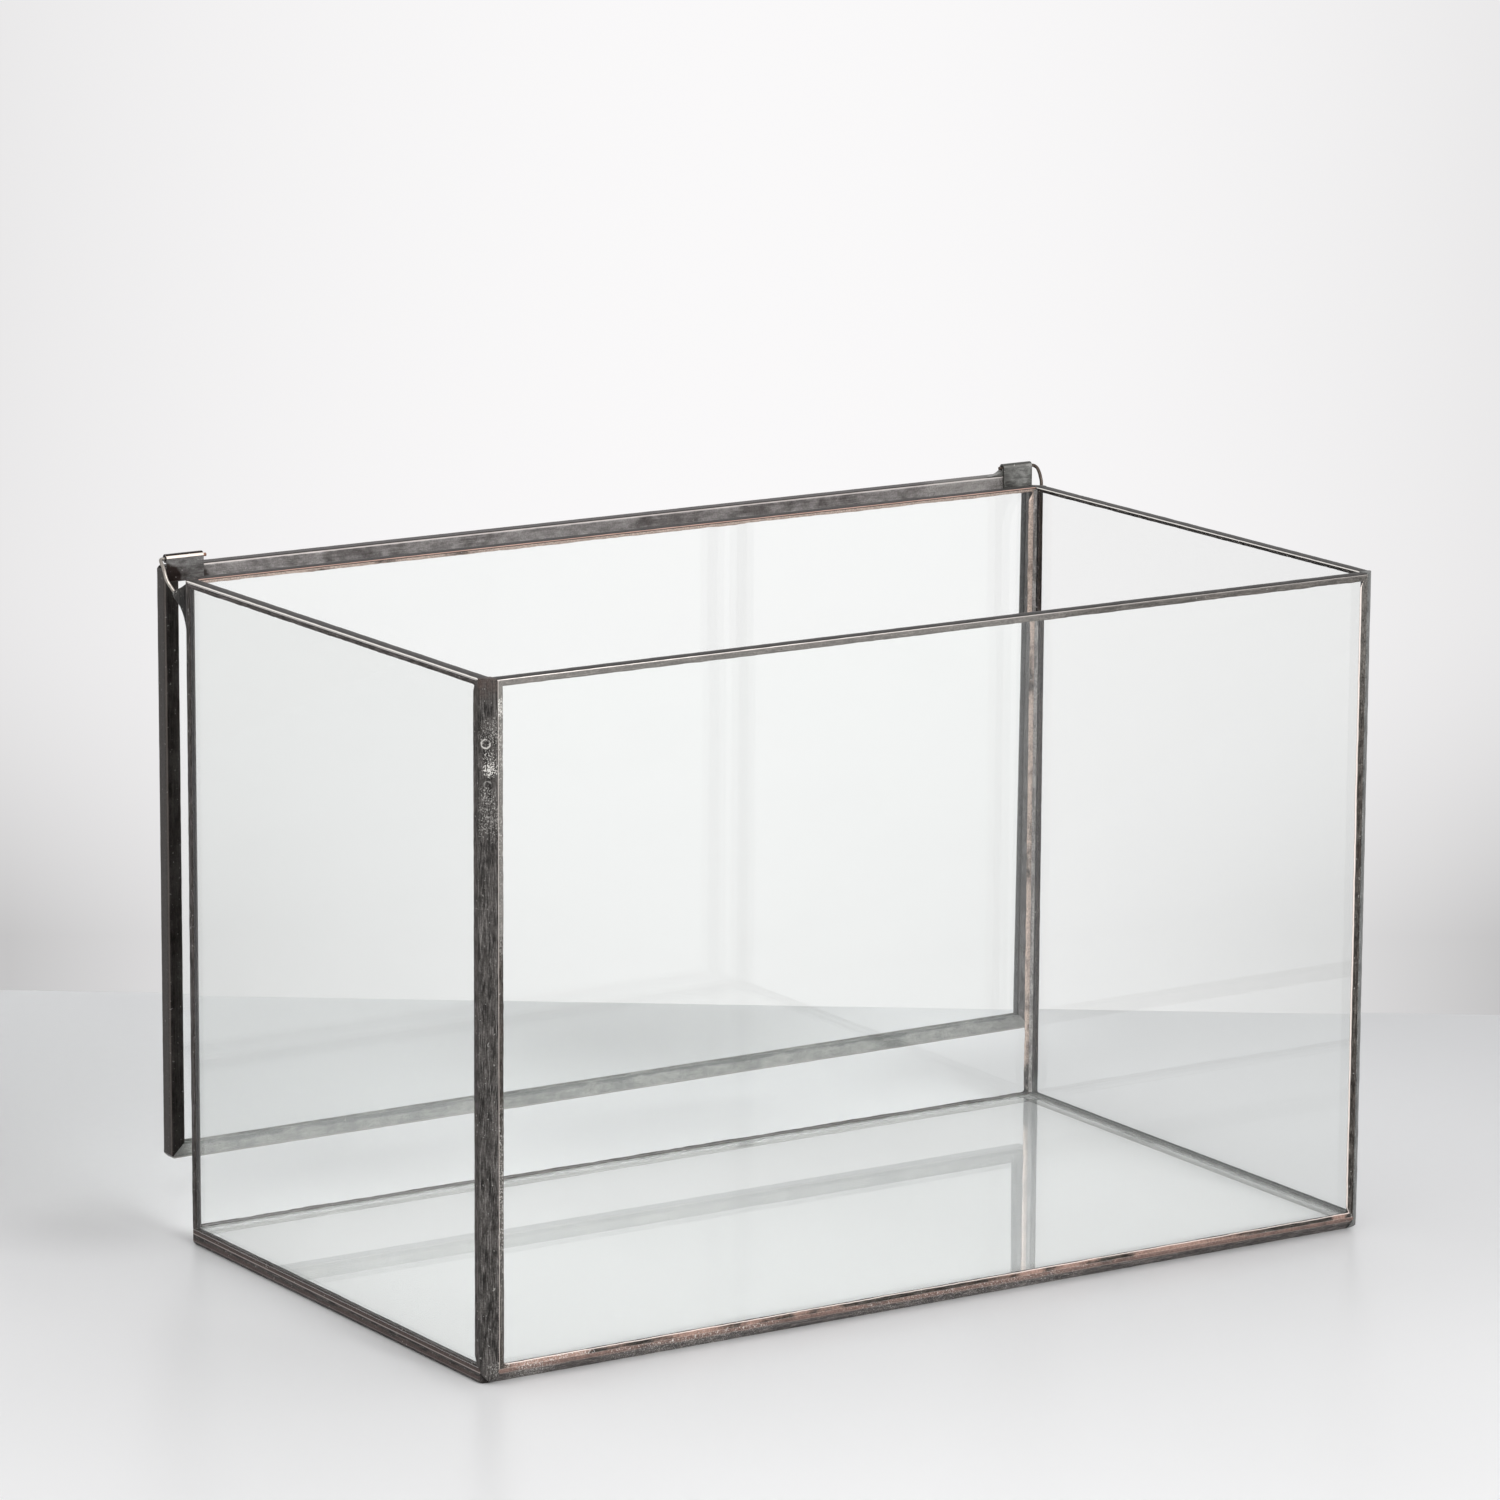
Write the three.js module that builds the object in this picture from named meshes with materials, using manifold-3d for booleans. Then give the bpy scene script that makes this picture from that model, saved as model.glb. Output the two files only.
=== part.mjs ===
// Glass terrarium: an open box of five panes joined by copper foil and solder, with a glass lid
// on two tube and wire hinges. The lid has been swung right over and hangs behind the box.
// Units are millimetres, +X to the right along the front, +Y to the back, +Z up.
// The origin is the bottom centre of the bounding box, on the surface that the box stands on.

import * as THREE from 'three';
import { mergeVertices } from 'three/addons/utils/BufferGeometryUtils.js';
import Module from 'manifold-3d';

const wasm = await Module();
wasm.setup();

// Box, measured over the foil and solder
const BOX_WIDTH = 250;
const BOX_DEPTH = 142.5;
const BOX_HEIGHT = 164;
const GLASS_THICKNESS = 3;

// Copper foil that is folded round the edges of each pane, with its tin skin
const FOIL_THICKNESS = 0.1;
const ADHESIVE_THICKNESS = 0.05;
const OUTER_FOIL_LIP = 1.5;
const INNER_FOIL_LIP = 0.65;

// Solder seams
const SEAM_CLEARANCE = 0.05;
const CHAMFER_LEG = 3.13;
const CHAMFER_CROWN = 0.12;
const RIM_BEAD_HEIGHT = 0.45;
const RIM_SHOULDER = 0.15;
const INNER_BEAD_LEG = 0.7;
const INNER_BEAD_CROWN = 0.08;
const FOOT_THICKNESS = 0.3;
const POST_FOOT_CHAMFER = 1.1;
const POST_TOP_CHAMFER = 0.3;

// Lid: a pane in a border of U-shaped metal strip, overhanging the closed box at its sides and front
const LID_SIDE_OVERHANG = 1.5;
const LID_FRONT_OVERHANG = 0.35;
const LID_THICKNESS = 4;
const BORDER_WIDTH = 3.9;
const BORDER_WEB = 0.5;
const BORDER_ROUND = 0.6;
const LID_GLASS_CLEARANCE = 0.1;
const MITRE_GAP = 0.03;
const LID_CORNER_CUT = 1.2;

// Where the lid hangs, and how high it lies when it is closed
const LID_GAP_BEHIND = 5;
const CLOSED_LID_GAP = 0.5;
const EDGE_BELOW_AXIS = 1.85;

// Hinge: a short tube rolled at the end of a flat leaf, turning on a bent wire
const TUBE_RADIUS = 1.05;
const TUBE_BORE_RADIUS = 0.65;
const KNUCKLE_LENGTH = 10;
const KNUCKLE_INSET = 0.6;
const LEAF_THICKNESS = 0.4;
const LEAF_GAP = 0.05;
const LEAF_MARGIN = 0.2;
const WIRE_RADIUS = 0.45;
const WIRE_TIP = 1.1;
const WIRE_SIDE_CLEARANCE = 0.5;
const WIRE_POST_GAP = 0.1;
const WIRE_FOOT_DROP = 7.5;
const WIRE_FOOT_LENGTH = 1;

// Gusset of solder that fixes each wire to its corner post
const GUSSET_TOP_DROP = 2.9;
const GUSSET_HEIGHT = 5.6;
const GUSSET_REACH = 4.3;
const GUSSET_THICKNESS = 2.6;
const GUSSET_ROOT = 0.5;
const GUSSET_CLEARANCE = 0.1;

// Fillet of solder between the right leaf's inner end and the edge of the lid's border
const FILLET_LENGTH = 1.8;
const FILLET_HEIGHT = 1.2;
const FILLET_DEPTH = 1.6;
const FILLET_GAP = 0.05;

// Overrun of every cut
const OVERRUN = 1;

// Facets
const CROWN_STEPS = 6;
const ROUND_STEPS = 4;
const TUBE_SEGMENTS = 24;
const WIRE_SEGMENTS = 12;
const WIRE_STEPS = 48;
const GUSSET_SEGMENTS = 20;
const FILLET_STEPS = 5;

// Places of the wire between its tube and its foot, as shares of the way from foot to tube:
// outwards, backwards, and then down from the tube. The wire bulges past the lid's side.
const WIRE_ROUTE_SHARES = [
  [0.873, 0.978, 0.013],
  [0.992, 0.866, 0.048],
  [1, 0.723, 0.123],
  [0.992, 0.604, 0.237],
  [0.944, 0.492, 0.395],
  [0.718, 0.38, 0.551],
  [0.52, 0.275, 0.675],
  [0.299, 0.158, 0.797],
  [0.082, 0.043, 0.921],
  [0, 0, 1],
];

// Outline of the gusset from its top down, as shares of its height, reach and thickness
const GUSSET_SHARES = [
  [0, 0.7, 0],
  [0.03, 0.9, 0.6],
  [0.1, 1, 0.9],
  [0.24, 0.93, 1],
  [0.44, 0.72, 0.95],
  [0.64, 0.49, 0.8],
  [0.82, 0.33, 0.62],
  [0.95, 0.22, 0.4],
  [1, 0.14, 0],
];

// Derived sizes. Distances named "in" run from the outermost face of a wall towards the inside.
const HALF_WIDTH = BOX_WIDTH / 2;
const HALF_DEPTH = BOX_DEPTH / 2;
const FOIL_SKIN = FOIL_THICKNESS + ADHESIVE_THICKNESS;
const WALL_IN = GLASS_THICKNESS + 2 * FOIL_SKIN;
const EDGE_IN = WALL_IN + SEAM_CLEARANCE;
const GLASS_EDGE_IN = EDGE_IN + FOIL_SKIN;
const LIP_END_IN = GLASS_EDGE_IN + OUTER_FOIL_LIP;
const BASE_LEVEL = FOOT_THICKNESS + SEAM_CLEARANCE;
const FLOOR_LEVEL = BASE_LEVEL + WALL_IN;
const GLASS_TOP = BOX_HEIGHT - RIM_BEAD_HEIGHT - SEAM_CLEARANCE - FOIL_SKIN;
const BEAD_IN = WALL_IN + SEAM_CLEARANCE;
const AXIS_BEHIND_FACE = TUBE_RADIUS - LEAF_THICKNESS - LEAF_GAP;
const AXIS_Y = HALF_DEPTH + LID_GAP_BEHIND + AXIS_BEHIND_FACE;
const AXIS_Z = BOX_HEIGHT + CLOSED_LID_GAP + LID_THICKNESS - AXIS_BEHIND_FACE;
const LID_WIDTH = BOX_WIDTH + 2 * LID_SIDE_OVERHANG;
const LID_LENGTH = AXIS_Y - EDGE_BELOW_AXIS + HALF_DEPTH + LID_FRONT_OVERHANG;
const KNUCKLE_END_X = LID_WIDTH / 2 - KNUCKLE_INSET;
const REAR_REACH = LID_GAP_BEHIND + LID_THICKNESS;

// Finishes
const GLASS = new THREE.MeshStandardMaterial({
  color: 0xdfeee8, roughness: 0.03, metalness: 0, transparent: true, opacity: 0.3,
});
const COPPER = new THREE.MeshStandardMaterial({ color: 0x8a6a5c, roughness: 0.45, metalness: 0.9 });
const SOLDER = new THREE.MeshStandardMaterial({ color: 0x55514e, roughness: 0.5, metalness: 0.8 });
const LID_METAL = new THREE.MeshStandardMaterial({ color: 0x5a5856, roughness: 0.5, metalness: 0.8 });
const HINGE_METAL = new THREE.MeshStandardMaterial({ color: 0x857d74, roughness: 0.4, metalness: 0.9 });
const WIRE_METAL = new THREE.MeshStandardMaterial({ color: 0x9a958c, roughness: 0.35, metalness: 0.9 });

const CORNERS = [
  { name: 'front_left', x: -1, y: -1 },
  { name: 'front_right', x: 1, y: -1 },
  { name: 'back_left', x: -1, y: 1 },
  { name: 'back_right', x: 1, y: 1 },
];
const LONG_SIDES = [{ name: 'front', y: -1 }, { name: 'back', y: 1 }];
const SHORT_SIDES = [{ name: 'left', x: -1 }, { name: 'right', x: 1 }];

// A box between two corners
function block(low, high) {
  const size = high.map((value, i) => value - low[i]);
  const geometry = new THREE.BoxGeometry(...size);
  geometry.translate(...low.map((value, i) => value + size[i] / 2));
  return geometry;
}

// Points that bulge from a to b, to the left of that direction
function crown(a, b, height) {
  const along = new THREE.Vector2(b[0] - a[0], b[1] - a[1]);
  const normal = new THREE.Vector2(-along.y, along.x).normalize();
  const points = [];
  for (let i = 0; i <= CROWN_STEPS; i += 1) {
    const t = i / CROWN_STEPS;
    const rise = height * 4 * t * (1 - t);
    points.push([a[0] + along.x * t + normal.x * rise, a[1] + along.y * t + normal.y * rise]);
  }
  return points;
}

function outline(points) {
  return new THREE.Shape(points.map(([x, y]) => new THREE.Vector2(x, y)));
}

function extrude(shape, length) {
  return new THREE.ExtrudeGeometry(shape, {
    depth: length, bevelEnabled: false, curveSegments: TUBE_SEGMENTS,
  });
}

// A prism along X whose section is drawn as Y and Z
function prismAlongX(shape, start, end) {
  const geometry = extrude(shape, end - start);
  const turn = new THREE.Matrix4().makeBasis(
    new THREE.Vector3(0, 1, 0), new THREE.Vector3(0, 0, 1), new THREE.Vector3(1, 0, 0),
  );
  return geometry.applyMatrix4(turn).translate(start, 0, 0);
}

// A prism along Y whose section is drawn as X and Z
function prismAlongY(shape, start, end) {
  const geometry = extrude(shape, end - start);
  return geometry.rotateX(Math.PI / 2).translate(0, end, 0);
}

// A prism along Z whose section is drawn as X and Y
function prismAlongZ(shape, start, end) {
  return extrude(shape, end - start).translate(0, 0, start);
}

// Closed geometry to a solid that can be cut, and back
function toSolid(geometry) {
  const bare = geometry.clone();
  bare.deleteAttribute('normal');
  bare.deleteAttribute('uv');
  const merged = mergeVertices(bare);
  const corners = merged.index.array;
  const faces = [];
  for (let i = 0; i < corners.length; i += 3) {
    const [a, b, c] = corners.slice(i, i + 3);
    if (a !== b && b !== c && c !== a) faces.push(a, b, c);
  }
  const mesh = new wasm.Mesh({
    numProp: 3,
    vertProperties: new Float32Array(merged.attributes.position.array),
    triVerts: new Uint32Array(faces),
  });
  return new wasm.Manifold(mesh);
}

function toGeometry(solid) {
  const mesh = solid.getMesh();
  const geometry = new THREE.BufferGeometry();
  geometry.setAttribute('position', new THREE.BufferAttribute(new Float32Array(mesh.vertProperties), 3));
  geometry.setIndex(new THREE.BufferAttribute(new Uint32Array(mesh.triVerts), 1));
  geometry.computeVertexNormals();
  return geometry;
}

function cut(geometry, ...tools) {
  return toGeometry(tools.reduce((solid, tool) => solid.subtract(toSolid(tool)), toSolid(geometry)));
}

function addMesh(group, name, geometry, material) {
  const mesh = new THREE.Mesh(geometry, material);
  mesh.name = name;
  group.add(mesh);
  return mesh;
}

// The five panes of the box: the corners of each sheet of glass, its thin direction, and which
// way along that direction is outwards
function boxPanes() {
  const x = HALF_WIDTH - GLASS_EDGE_IN;
  const y = HALF_DEPTH - GLASS_EDGE_IN;
  const bottom = BASE_LEVEL + GLASS_EDGE_IN;
  const wall = (half) => [half - FOIL_SKIN - GLASS_THICKNESS, half - FOIL_SKIN];
  const [wallX0, wallX1] = wall(HALF_WIDTH);
  const [wallY0, wallY1] = wall(HALF_DEPTH);
  const baseGlass = BASE_LEVEL + FOIL_SKIN;
  const baseTop = baseGlass + GLASS_THICKNESS;
  return [
    { name: 'base', thin: 2, out: -1, low: [-x, -y, baseGlass], high: [x, y, baseTop] },
    { name: 'front', thin: 1, out: -1, low: [-x, -wallY1, bottom], high: [x, -wallY0, GLASS_TOP] },
    { name: 'back', thin: 1, out: 1, low: [-x, wallY0, bottom], high: [x, wallY1, GLASS_TOP] },
    { name: 'left', thin: 0, out: -1, low: [-wallX1, -y, bottom], high: [-wallX0, y, GLASS_TOP] },
    { name: 'right', thin: 0, out: 1, low: [wallX0, -y, bottom], high: [wallX1, y, GLASS_TOP] },
  ];
}

// Foil folded over all four edges of a pane, with a wide lip on its outer face and a narrow one
// on its inner face
function foilWrap(pane) {
  const grown = (by) => [pane.low.map((value) => value - by), pane.high.map((value) => value + by)];
  const window = (lip, way) => {
    const low = pane.low.map((value) => value + lip);
    const high = pane.high.map((value) => value - lip);
    const middle = (pane.low[pane.thin] + pane.high[pane.thin]) / 2;
    low[pane.thin] = way < 0 ? pane.low[pane.thin] - OVERRUN : middle;
    high[pane.thin] = way < 0 ? middle : pane.high[pane.thin] + OVERRUN;
    return block(low, high);
  };
  return cut(
    block(...grown(FOIL_SKIN)),
    block(...grown(ADHESIVE_THICKNESS)),
    window(OUTER_FOIL_LIP, pane.out),
    window(INNER_FOIL_LIP, -pane.out),
  );
}

// Upright solder post that fills the notch between two walls, with its outer corner chamfered
function postSection(corner, grow = 0) {
  const section = [
    ...crown([CHAMFER_LEG, -grow], [-grow, CHAMFER_LEG], CHAMFER_CROWN + grow),
    [-grow, WALL_IN + grow],
    [WALL_IN + grow, WALL_IN + grow],
    [WALL_IN + grow, -grow],
  ];
  return outline(section.map(([u, v]) => [corner.x * (HALF_WIDTH - u), corner.y * (HALF_DEPTH - v)]));
}

// The post's outer edges are drawn in a little at its foot and at its top
function cornerPost(corner) {
  const post = prismAlongZ(postSection(corner), 0, BOX_HEIGHT);
  const wedge = (half, side, level, up, chamfer) => outline([
    [side * (half + OVERRUN), level - up * OVERRUN],
    [side * (half - chamfer - OVERRUN), level - up * OVERRUN],
    [side * (half + OVERRUN), level + up * (chamfer + OVERRUN)],
  ]);
  const ends = [
    { level: 0, up: 1, chamfer: POST_FOOT_CHAMFER },
    { level: BOX_HEIGHT, up: -1, chamfer: POST_TOP_CHAMFER },
  ];
  const reachX = HALF_WIDTH + OVERRUN;
  const reachY = HALF_DEPTH + OVERRUN;
  const tools = ends.flatMap(({ level, up, chamfer }) => [
    prismAlongX(wedge(HALF_DEPTH, corner.y, level, up, chamfer), -reachX, reachX),
    prismAlongY(wedge(HALF_WIDTH, corner.x, level, up, chamfer), -reachY, reachY),
  ]);
  return cut(post, ...tools);
}

// Section of a bottom seam: the chamfer that fills the notch, and the flat bead under the base
function bottomSection() {
  return [
    ...crown([CHAMFER_LEG, 0], [0, CHAMFER_LEG], CHAMFER_CROWN),
    [0, FLOOR_LEVEL],
    [WALL_IN, FLOOR_LEVEL],
    [WALL_IN, FOOT_THICKNESS],
    [LIP_END_IN, FOOT_THICKNESS],
    [LIP_END_IN, 0],
  ];
}

// Section of a rim bead: a low crown of solder on the folded foil
function rimSection() {
  const bottom = BOX_HEIGHT - RIM_BEAD_HEIGHT;
  const shoulder = bottom + RIM_SHOULDER;
  return [
    [0, bottom],
    [WALL_IN, bottom],
    ...crown([WALL_IN, shoulder], [0, shoulder], shoulder - BOX_HEIGHT),
  ];
}

// Section of the small bead inside a corner, with its square corner at a place and a level
function innerSection(level) {
  const far = BEAD_IN + INNER_BEAD_LEG;
  return [[BEAD_IN, level], ...crown([far, level], [BEAD_IN, level + INNER_BEAD_LEG], -INNER_BEAD_CROWN)];
}

const drawnInY = (section, side) => outline(section.map(([v, z]) => [side * (HALF_DEPTH - v), z]));
const drawnInX = (section, side) => outline(section.map(([u, z]) => [side * (HALF_WIDTH - u), z]));

function addPanes(group) {
  for (const pane of boxPanes()) {
    addMesh(group, `${pane.name}_pane`, block(pane.low, pane.high), GLASS);
    addMesh(group, `${pane.name}_foil`, foilWrap(pane), COPPER);
  }
}

function addSeams(group) {
  const runX = HALF_WIDTH - EDGE_IN;
  const runY = HALF_DEPTH - EDGE_IN;
  for (const corner of CORNERS) addMesh(group, `corner_seam_${corner.name}`, cornerPost(corner), SOLDER);
  for (const { name, y } of LONG_SIDES) {
    addMesh(group, `bottom_seam_${name}`, prismAlongX(drawnInY(bottomSection(), y), -runX, runX), SOLDER);
    addMesh(group, `rim_bead_${name}`, prismAlongX(drawnInY(rimSection(), y), -runX, runX), SOLDER);
  }
  const footReach = HALF_DEPTH - LIP_END_IN - SEAM_CLEARANCE;
  for (const { name, x } of SHORT_SIDES) {
    const seam = prismAlongY(drawnInX(bottomSection(), x), -runY, runY);
    const inner = HALF_WIDTH - WALL_IN;
    const ends = [-1, 1].map((y) => block(
      [-inner, Math.min(y * footReach, y * HALF_DEPTH), -OVERRUN],
      [inner, Math.max(y * footReach, y * HALF_DEPTH), BASE_LEVEL],
    ));
    addMesh(group, `bottom_seam_${name}`, cut(seam, ...ends), SOLDER);
    addMesh(group, `rim_bead_${name}`, prismAlongY(drawnInX(rimSection(), x), -runY, runY), SOLDER);
  }
}

function addInnerBeads(group) {
  const level = FLOOR_LEVEL + SEAM_CLEARANCE;
  const beadEnd = BEAD_IN + INNER_BEAD_LEG + SEAM_CLEARANCE;
  const runX = HALF_WIDTH - BEAD_IN;
  const runY = HALF_DEPTH - beadEnd;
  for (const { name, y } of LONG_SIDES) {
    const bead = prismAlongX(drawnInY(innerSection(level), y), -runX, runX);
    addMesh(group, `inner_base_bead_${name}`, bead, SOLDER);
  }
  for (const { name, x } of SHORT_SIDES) {
    const bead = prismAlongY(drawnInX(innerSection(level), x), -runY, runY);
    addMesh(group, `inner_base_bead_${name}`, bead, SOLDER);
  }
  const bottom = level + INNER_BEAD_LEG + SEAM_CLEARANCE;
  for (const corner of CORNERS) {
    const section = innerSection(BEAD_IN).map(([u, v]) => [
      corner.x * (HALF_WIDTH - u), corner.y * (HALF_DEPTH - v),
    ]);
    const bead = prismAlongZ(outline(section), bottom, GLASS_TOP);
    addMesh(group, `inner_corner_bead_${corner.name}`, bead, SOLDER);
  }
}

// Centre line of the left or right hinge wire: straight in the tube, out past the lid's side,
// down and forward to the chamfer of the back corner post, and a short way down the post
function wireRoute(side) {
  const onChamfer = CHAMFER_LEG / 2 - (WIRE_RADIUS + WIRE_POST_GAP + CHAMFER_CROWN) * Math.SQRT1_2;
  const foot = new THREE.Vector3(
    HALF_WIDTH - onChamfer, HALF_DEPTH - onChamfer, BOX_HEIGHT - WIRE_FOOT_DROP,
  );
  const bulge = LID_WIDTH / 2 + WIRE_SIDE_CLEARANCE + WIRE_RADIUS;
  const tip = KNUCKLE_END_X - KNUCKLE_LENGTH - WIRE_TIP;
  const straight = [tip, (tip + KNUCKLE_END_X) / 2, KNUCKLE_END_X].map((x) => [x, AXIS_Y, AXIS_Z]);
  const bend = WIRE_ROUTE_SHARES.map(([out, back, down]) => [
    THREE.MathUtils.lerp(foot.x, bulge, out),
    THREE.MathUtils.lerp(foot.y, AXIS_Y, back),
    THREE.MathUtils.lerp(AXIS_Z, foot.z, down),
  ]);
  const end = [foot.x, foot.y, foot.z - WIRE_FOOT_LENGTH];
  const points = [...straight, ...bend, end].map(([x, y, z]) => new THREE.Vector3(side * x, y, z));
  return new THREE.CatmullRomCurve3(points, false, 'centripetal');
}

function wire(side, radius) {
  const section = [];
  for (let i = 0; i < WIRE_SEGMENTS; i += 1) {
    const angle = (i / WIRE_SEGMENTS) * 2 * Math.PI;
    section.push([radius * Math.cos(angle), radius * Math.sin(angle)]);
  }
  return new THREE.ExtrudeGeometry(outline(section), { steps: WIRE_STEPS, extrudePath: wireRoute(side) });
}

// Gusset of solder that holds the wire's foot: wide at the top, where the wire comes in, and
// tapering down to the post. It is turned square to the post's chamfer and cut to fit the post
// and the wire.
function gusset(side) {
  const profile = GUSSET_SHARES.map(([down, , thickness]) => new THREE.Vector2(
    (thickness * GUSSET_THICKNESS) / 2, -down * GUSSET_HEIGHT,
  ));
  const solder = new THREE.LatheGeometry(profile.reverse(), GUSSET_SEGMENTS).rotateX(Math.PI / 2);
  const places = solder.attributes.position;
  const rings = GUSSET_SHARES.length;
  for (let i = 0; i < places.count; i += 1) {
    const [, reach, thickness] = GUSSET_SHARES[rings - 1 - (i % rings)];
    const half = (reach * GUSSET_REACH + GUSSET_ROOT) / 2;
    const around = thickness === 0 ? 0 : (places.getX(i) * 2) / (thickness * GUSSET_THICKNESS);
    places.setX(i, half * (1 + around) - GUSSET_ROOT);
  }
  const outwards = side > 0 ? Math.PI / 4 : (3 * Math.PI) / 4;
  solder.rotateZ(outwards);
  solder.translate(
    side * (HALF_WIDTH - CHAMFER_LEG / 2), HALF_DEPTH - CHAMFER_LEG / 2, BOX_HEIGHT - GUSSET_TOP_DROP,
  );
  const post = prismAlongZ(postSection({ x: side, y: 1 }, GUSSET_CLEARANCE), 0, BOX_HEIGHT);
  return cut(solder, post, wire(side, WIRE_RADIUS + GUSSET_CLEARANCE));
}

function addWires(group) {
  for (const { name, x } of SHORT_SIDES) {
    addMesh(group, `hinge_wire_${name}`, wire(x, WIRE_RADIUS), WIRE_METAL);
    addMesh(group, `wire_gusset_${name}`, gusset(x), SOLDER);
  }
}

// Section of the lid's border: a U that holds the edge of the pane, with rounded outer corners.
// The first number is the distance in from the lid's edge, the second the depth from its face.
function borderSection() {
  const slot = (LID_THICKNESS - GLASS_THICKNESS) / 2 - LID_GLASS_CLEARANCE;
  const round = (cx, cy, from) => {
    const points = [];
    for (let i = 0; i <= ROUND_STEPS; i += 1) {
      const angle = from + (i / ROUND_STEPS) * (Math.PI / 2);
      points.push([cx + BORDER_ROUND * Math.cos(angle), cy + BORDER_ROUND * Math.sin(angle)]);
    }
    return points;
  };
  return [
    ...round(BORDER_ROUND, LID_THICKNESS - BORDER_ROUND, Math.PI / 2),
    ...round(BORDER_ROUND, BORDER_ROUND, Math.PI),
    [BORDER_WIDTH, 0],
    [BORDER_WIDTH, slot],
    [BORDER_WEB, slot],
    [BORDER_WEB, LID_THICKNESS - slot],
    [BORDER_WIDTH, LID_THICKNESS - slot],
    [BORDER_WIDTH, LID_THICKNESS],
  ];
}

// One border strip along X, mitred at both ends, drawn with its outer edge up at Z = 0
function borderStrip(length) {
  const section = borderSection().map(([inwards, depth]) => [depth, -inwards]);
  const strip = prismAlongX(outline(section), -length / 2, length / 2);
  const places = strip.attributes.position;
  for (let i = 0; i < places.count; i += 1) {
    const half = length / 2 + places.getZ(i) - MITRE_GAP;
    places.setX(i, Math.sign(places.getX(i)) * half);
  }
  return strip;
}

// The lid's sharp corner is dressed off at 45 degrees where the strips are soldered
function dressedStrip(length) {
  const reach = length / 2 + OVERRUN;
  const rise = OVERRUN + LID_CORNER_CUT;
  const ends = [-1, 1].map((side) => prismAlongY(outline([
    [side * (length / 2 - LID_CORNER_CUT - OVERRUN), OVERRUN],
    [side * reach, OVERRUN],
    [side * reach, -rise],
  ]), -OVERRUN, LID_THICKNESS + OVERRUN));
  return cut(borderStrip(length), ...ends);
}

// The hinge knuckle: a leaf on the lid's outer face, rolled round the wire at its upper end
function knuckle() {
  const front = -TUBE_RADIUS;
  const back = front + LEAF_THICKNESS;
  const bottom = -(EDGE_BELOW_AXIS + BORDER_WIDTH - LEAF_MARGIN);
  const meet = Math.PI + Math.acos(-back / TUBE_RADIUS);
  const shape = new THREE.Shape();
  shape.moveTo(front, bottom);
  shape.lineTo(front, 0);
  shape.absarc(0, 0, TUBE_RADIUS, Math.PI, meet - 2 * Math.PI, true);
  shape.lineTo(back, bottom);
  shape.closePath();
  const bore = new THREE.Path();
  bore.absarc(0, 0, TUBE_BORE_RADIUS, 0, 2 * Math.PI, false);
  shape.holes.push(bore);
  return prismAlongX(shape, -KNUCKLE_LENGTH / 2, KNUCKLE_LENGTH / 2);
}

// The hollow-sided fillet at the inner end of the right leaf, lying on the border's edge
function leafFillet() {
  const bottom = -EDGE_BELOW_AXIS + FILLET_GAP;
  const end = KNUCKLE_END_X - KNUCKLE_LENGTH - FILLET_GAP;
  const points = [[end, bottom]];
  for (let i = 0; i <= FILLET_STEPS; i += 1) {
    const angle = (i / FILLET_STEPS) * (Math.PI / 2);
    points.push([
      end - FILLET_LENGTH * (1 - Math.sin(angle)),
      bottom + FILLET_HEIGHT * (1 - Math.cos(angle)),
    ]);
  }
  const start = -AXIS_BEHIND_FACE;
  return prismAlongY(outline(points.reverse()), start, start + FILLET_DEPTH);
}

// The lid hangs from the hinge axis, which is this group's origin
function buildLid() {
  const lid = new THREE.Group();
  lid.position.set(0, AXIS_Y, AXIS_Z);
  const face = -AXIS_BEHIND_FACE;
  const centre = -(EDGE_BELOW_AXIS + LID_LENGTH / 2);
  const strips = [
    { name: 'lid_border_hinge_side', length: LID_WIDTH, across: LID_LENGTH },
    { name: 'lid_border_right', length: LID_LENGTH, across: LID_WIDTH },
    { name: 'lid_border_front', length: LID_WIDTH, across: LID_LENGTH },
    { name: 'lid_border_left', length: LID_LENGTH, across: LID_WIDTH },
  ];
  strips.forEach(({ name, length, across }, quarter) => {
    const strip = dressedStrip(length).translate(0, 0, across / 2).rotateY((quarter * Math.PI) / 2);
    addMesh(lid, name, strip, LID_METAL).position.set(0, face, centre);
  });
  const edge = BORDER_WEB + LID_GLASS_CLEARANCE;
  const halfX = LID_WIDTH / 2 - edge;
  const halfZ = LID_LENGTH / 2 - edge;
  const glassFace = face + (LID_THICKNESS - GLASS_THICKNESS) / 2;
  const pane = block(
    [-halfX, glassFace, centre - halfZ],
    [halfX, glassFace + GLASS_THICKNESS, centre + halfZ],
  );
  addMesh(lid, 'lid_pane', pane, GLASS);
  for (const { name, x } of SHORT_SIDES) {
    const mesh = addMesh(lid, `hinge_knuckle_${name}`, knuckle(), HINGE_METAL);
    mesh.position.x = x * (KNUCKLE_END_X - KNUCKLE_LENGTH / 2);
  }
  addMesh(lid, 'leaf_fillet_right', leafFillet(), SOLDER);
  return lid;
}

function buildTerrarium() {
  const box = new THREE.Group();
  addPanes(box);
  addSeams(box);
  addInnerBeads(box);
  addWires(box);
  const terrarium = new THREE.Group();
  terrarium.name = 'glass_terrarium';
  terrarium.add(box, buildLid());
  terrarium.position.y = -REAR_REACH / 2;
  return terrarium;
}

export default buildTerrarium();
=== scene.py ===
"""A glass terrarium with a swung-over lid, dressed round its CAD frame.

The panes of the frame stay and get a clear glass. Foil wraps, solder seams, lid border and
hinges are made again here with the ripples, wavy lips and wear of hand work, and with some
painted highlights and painted shade in their colours. Local sizes are in millimetres; finished
meshes are in metres in the frame.
"""

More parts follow.
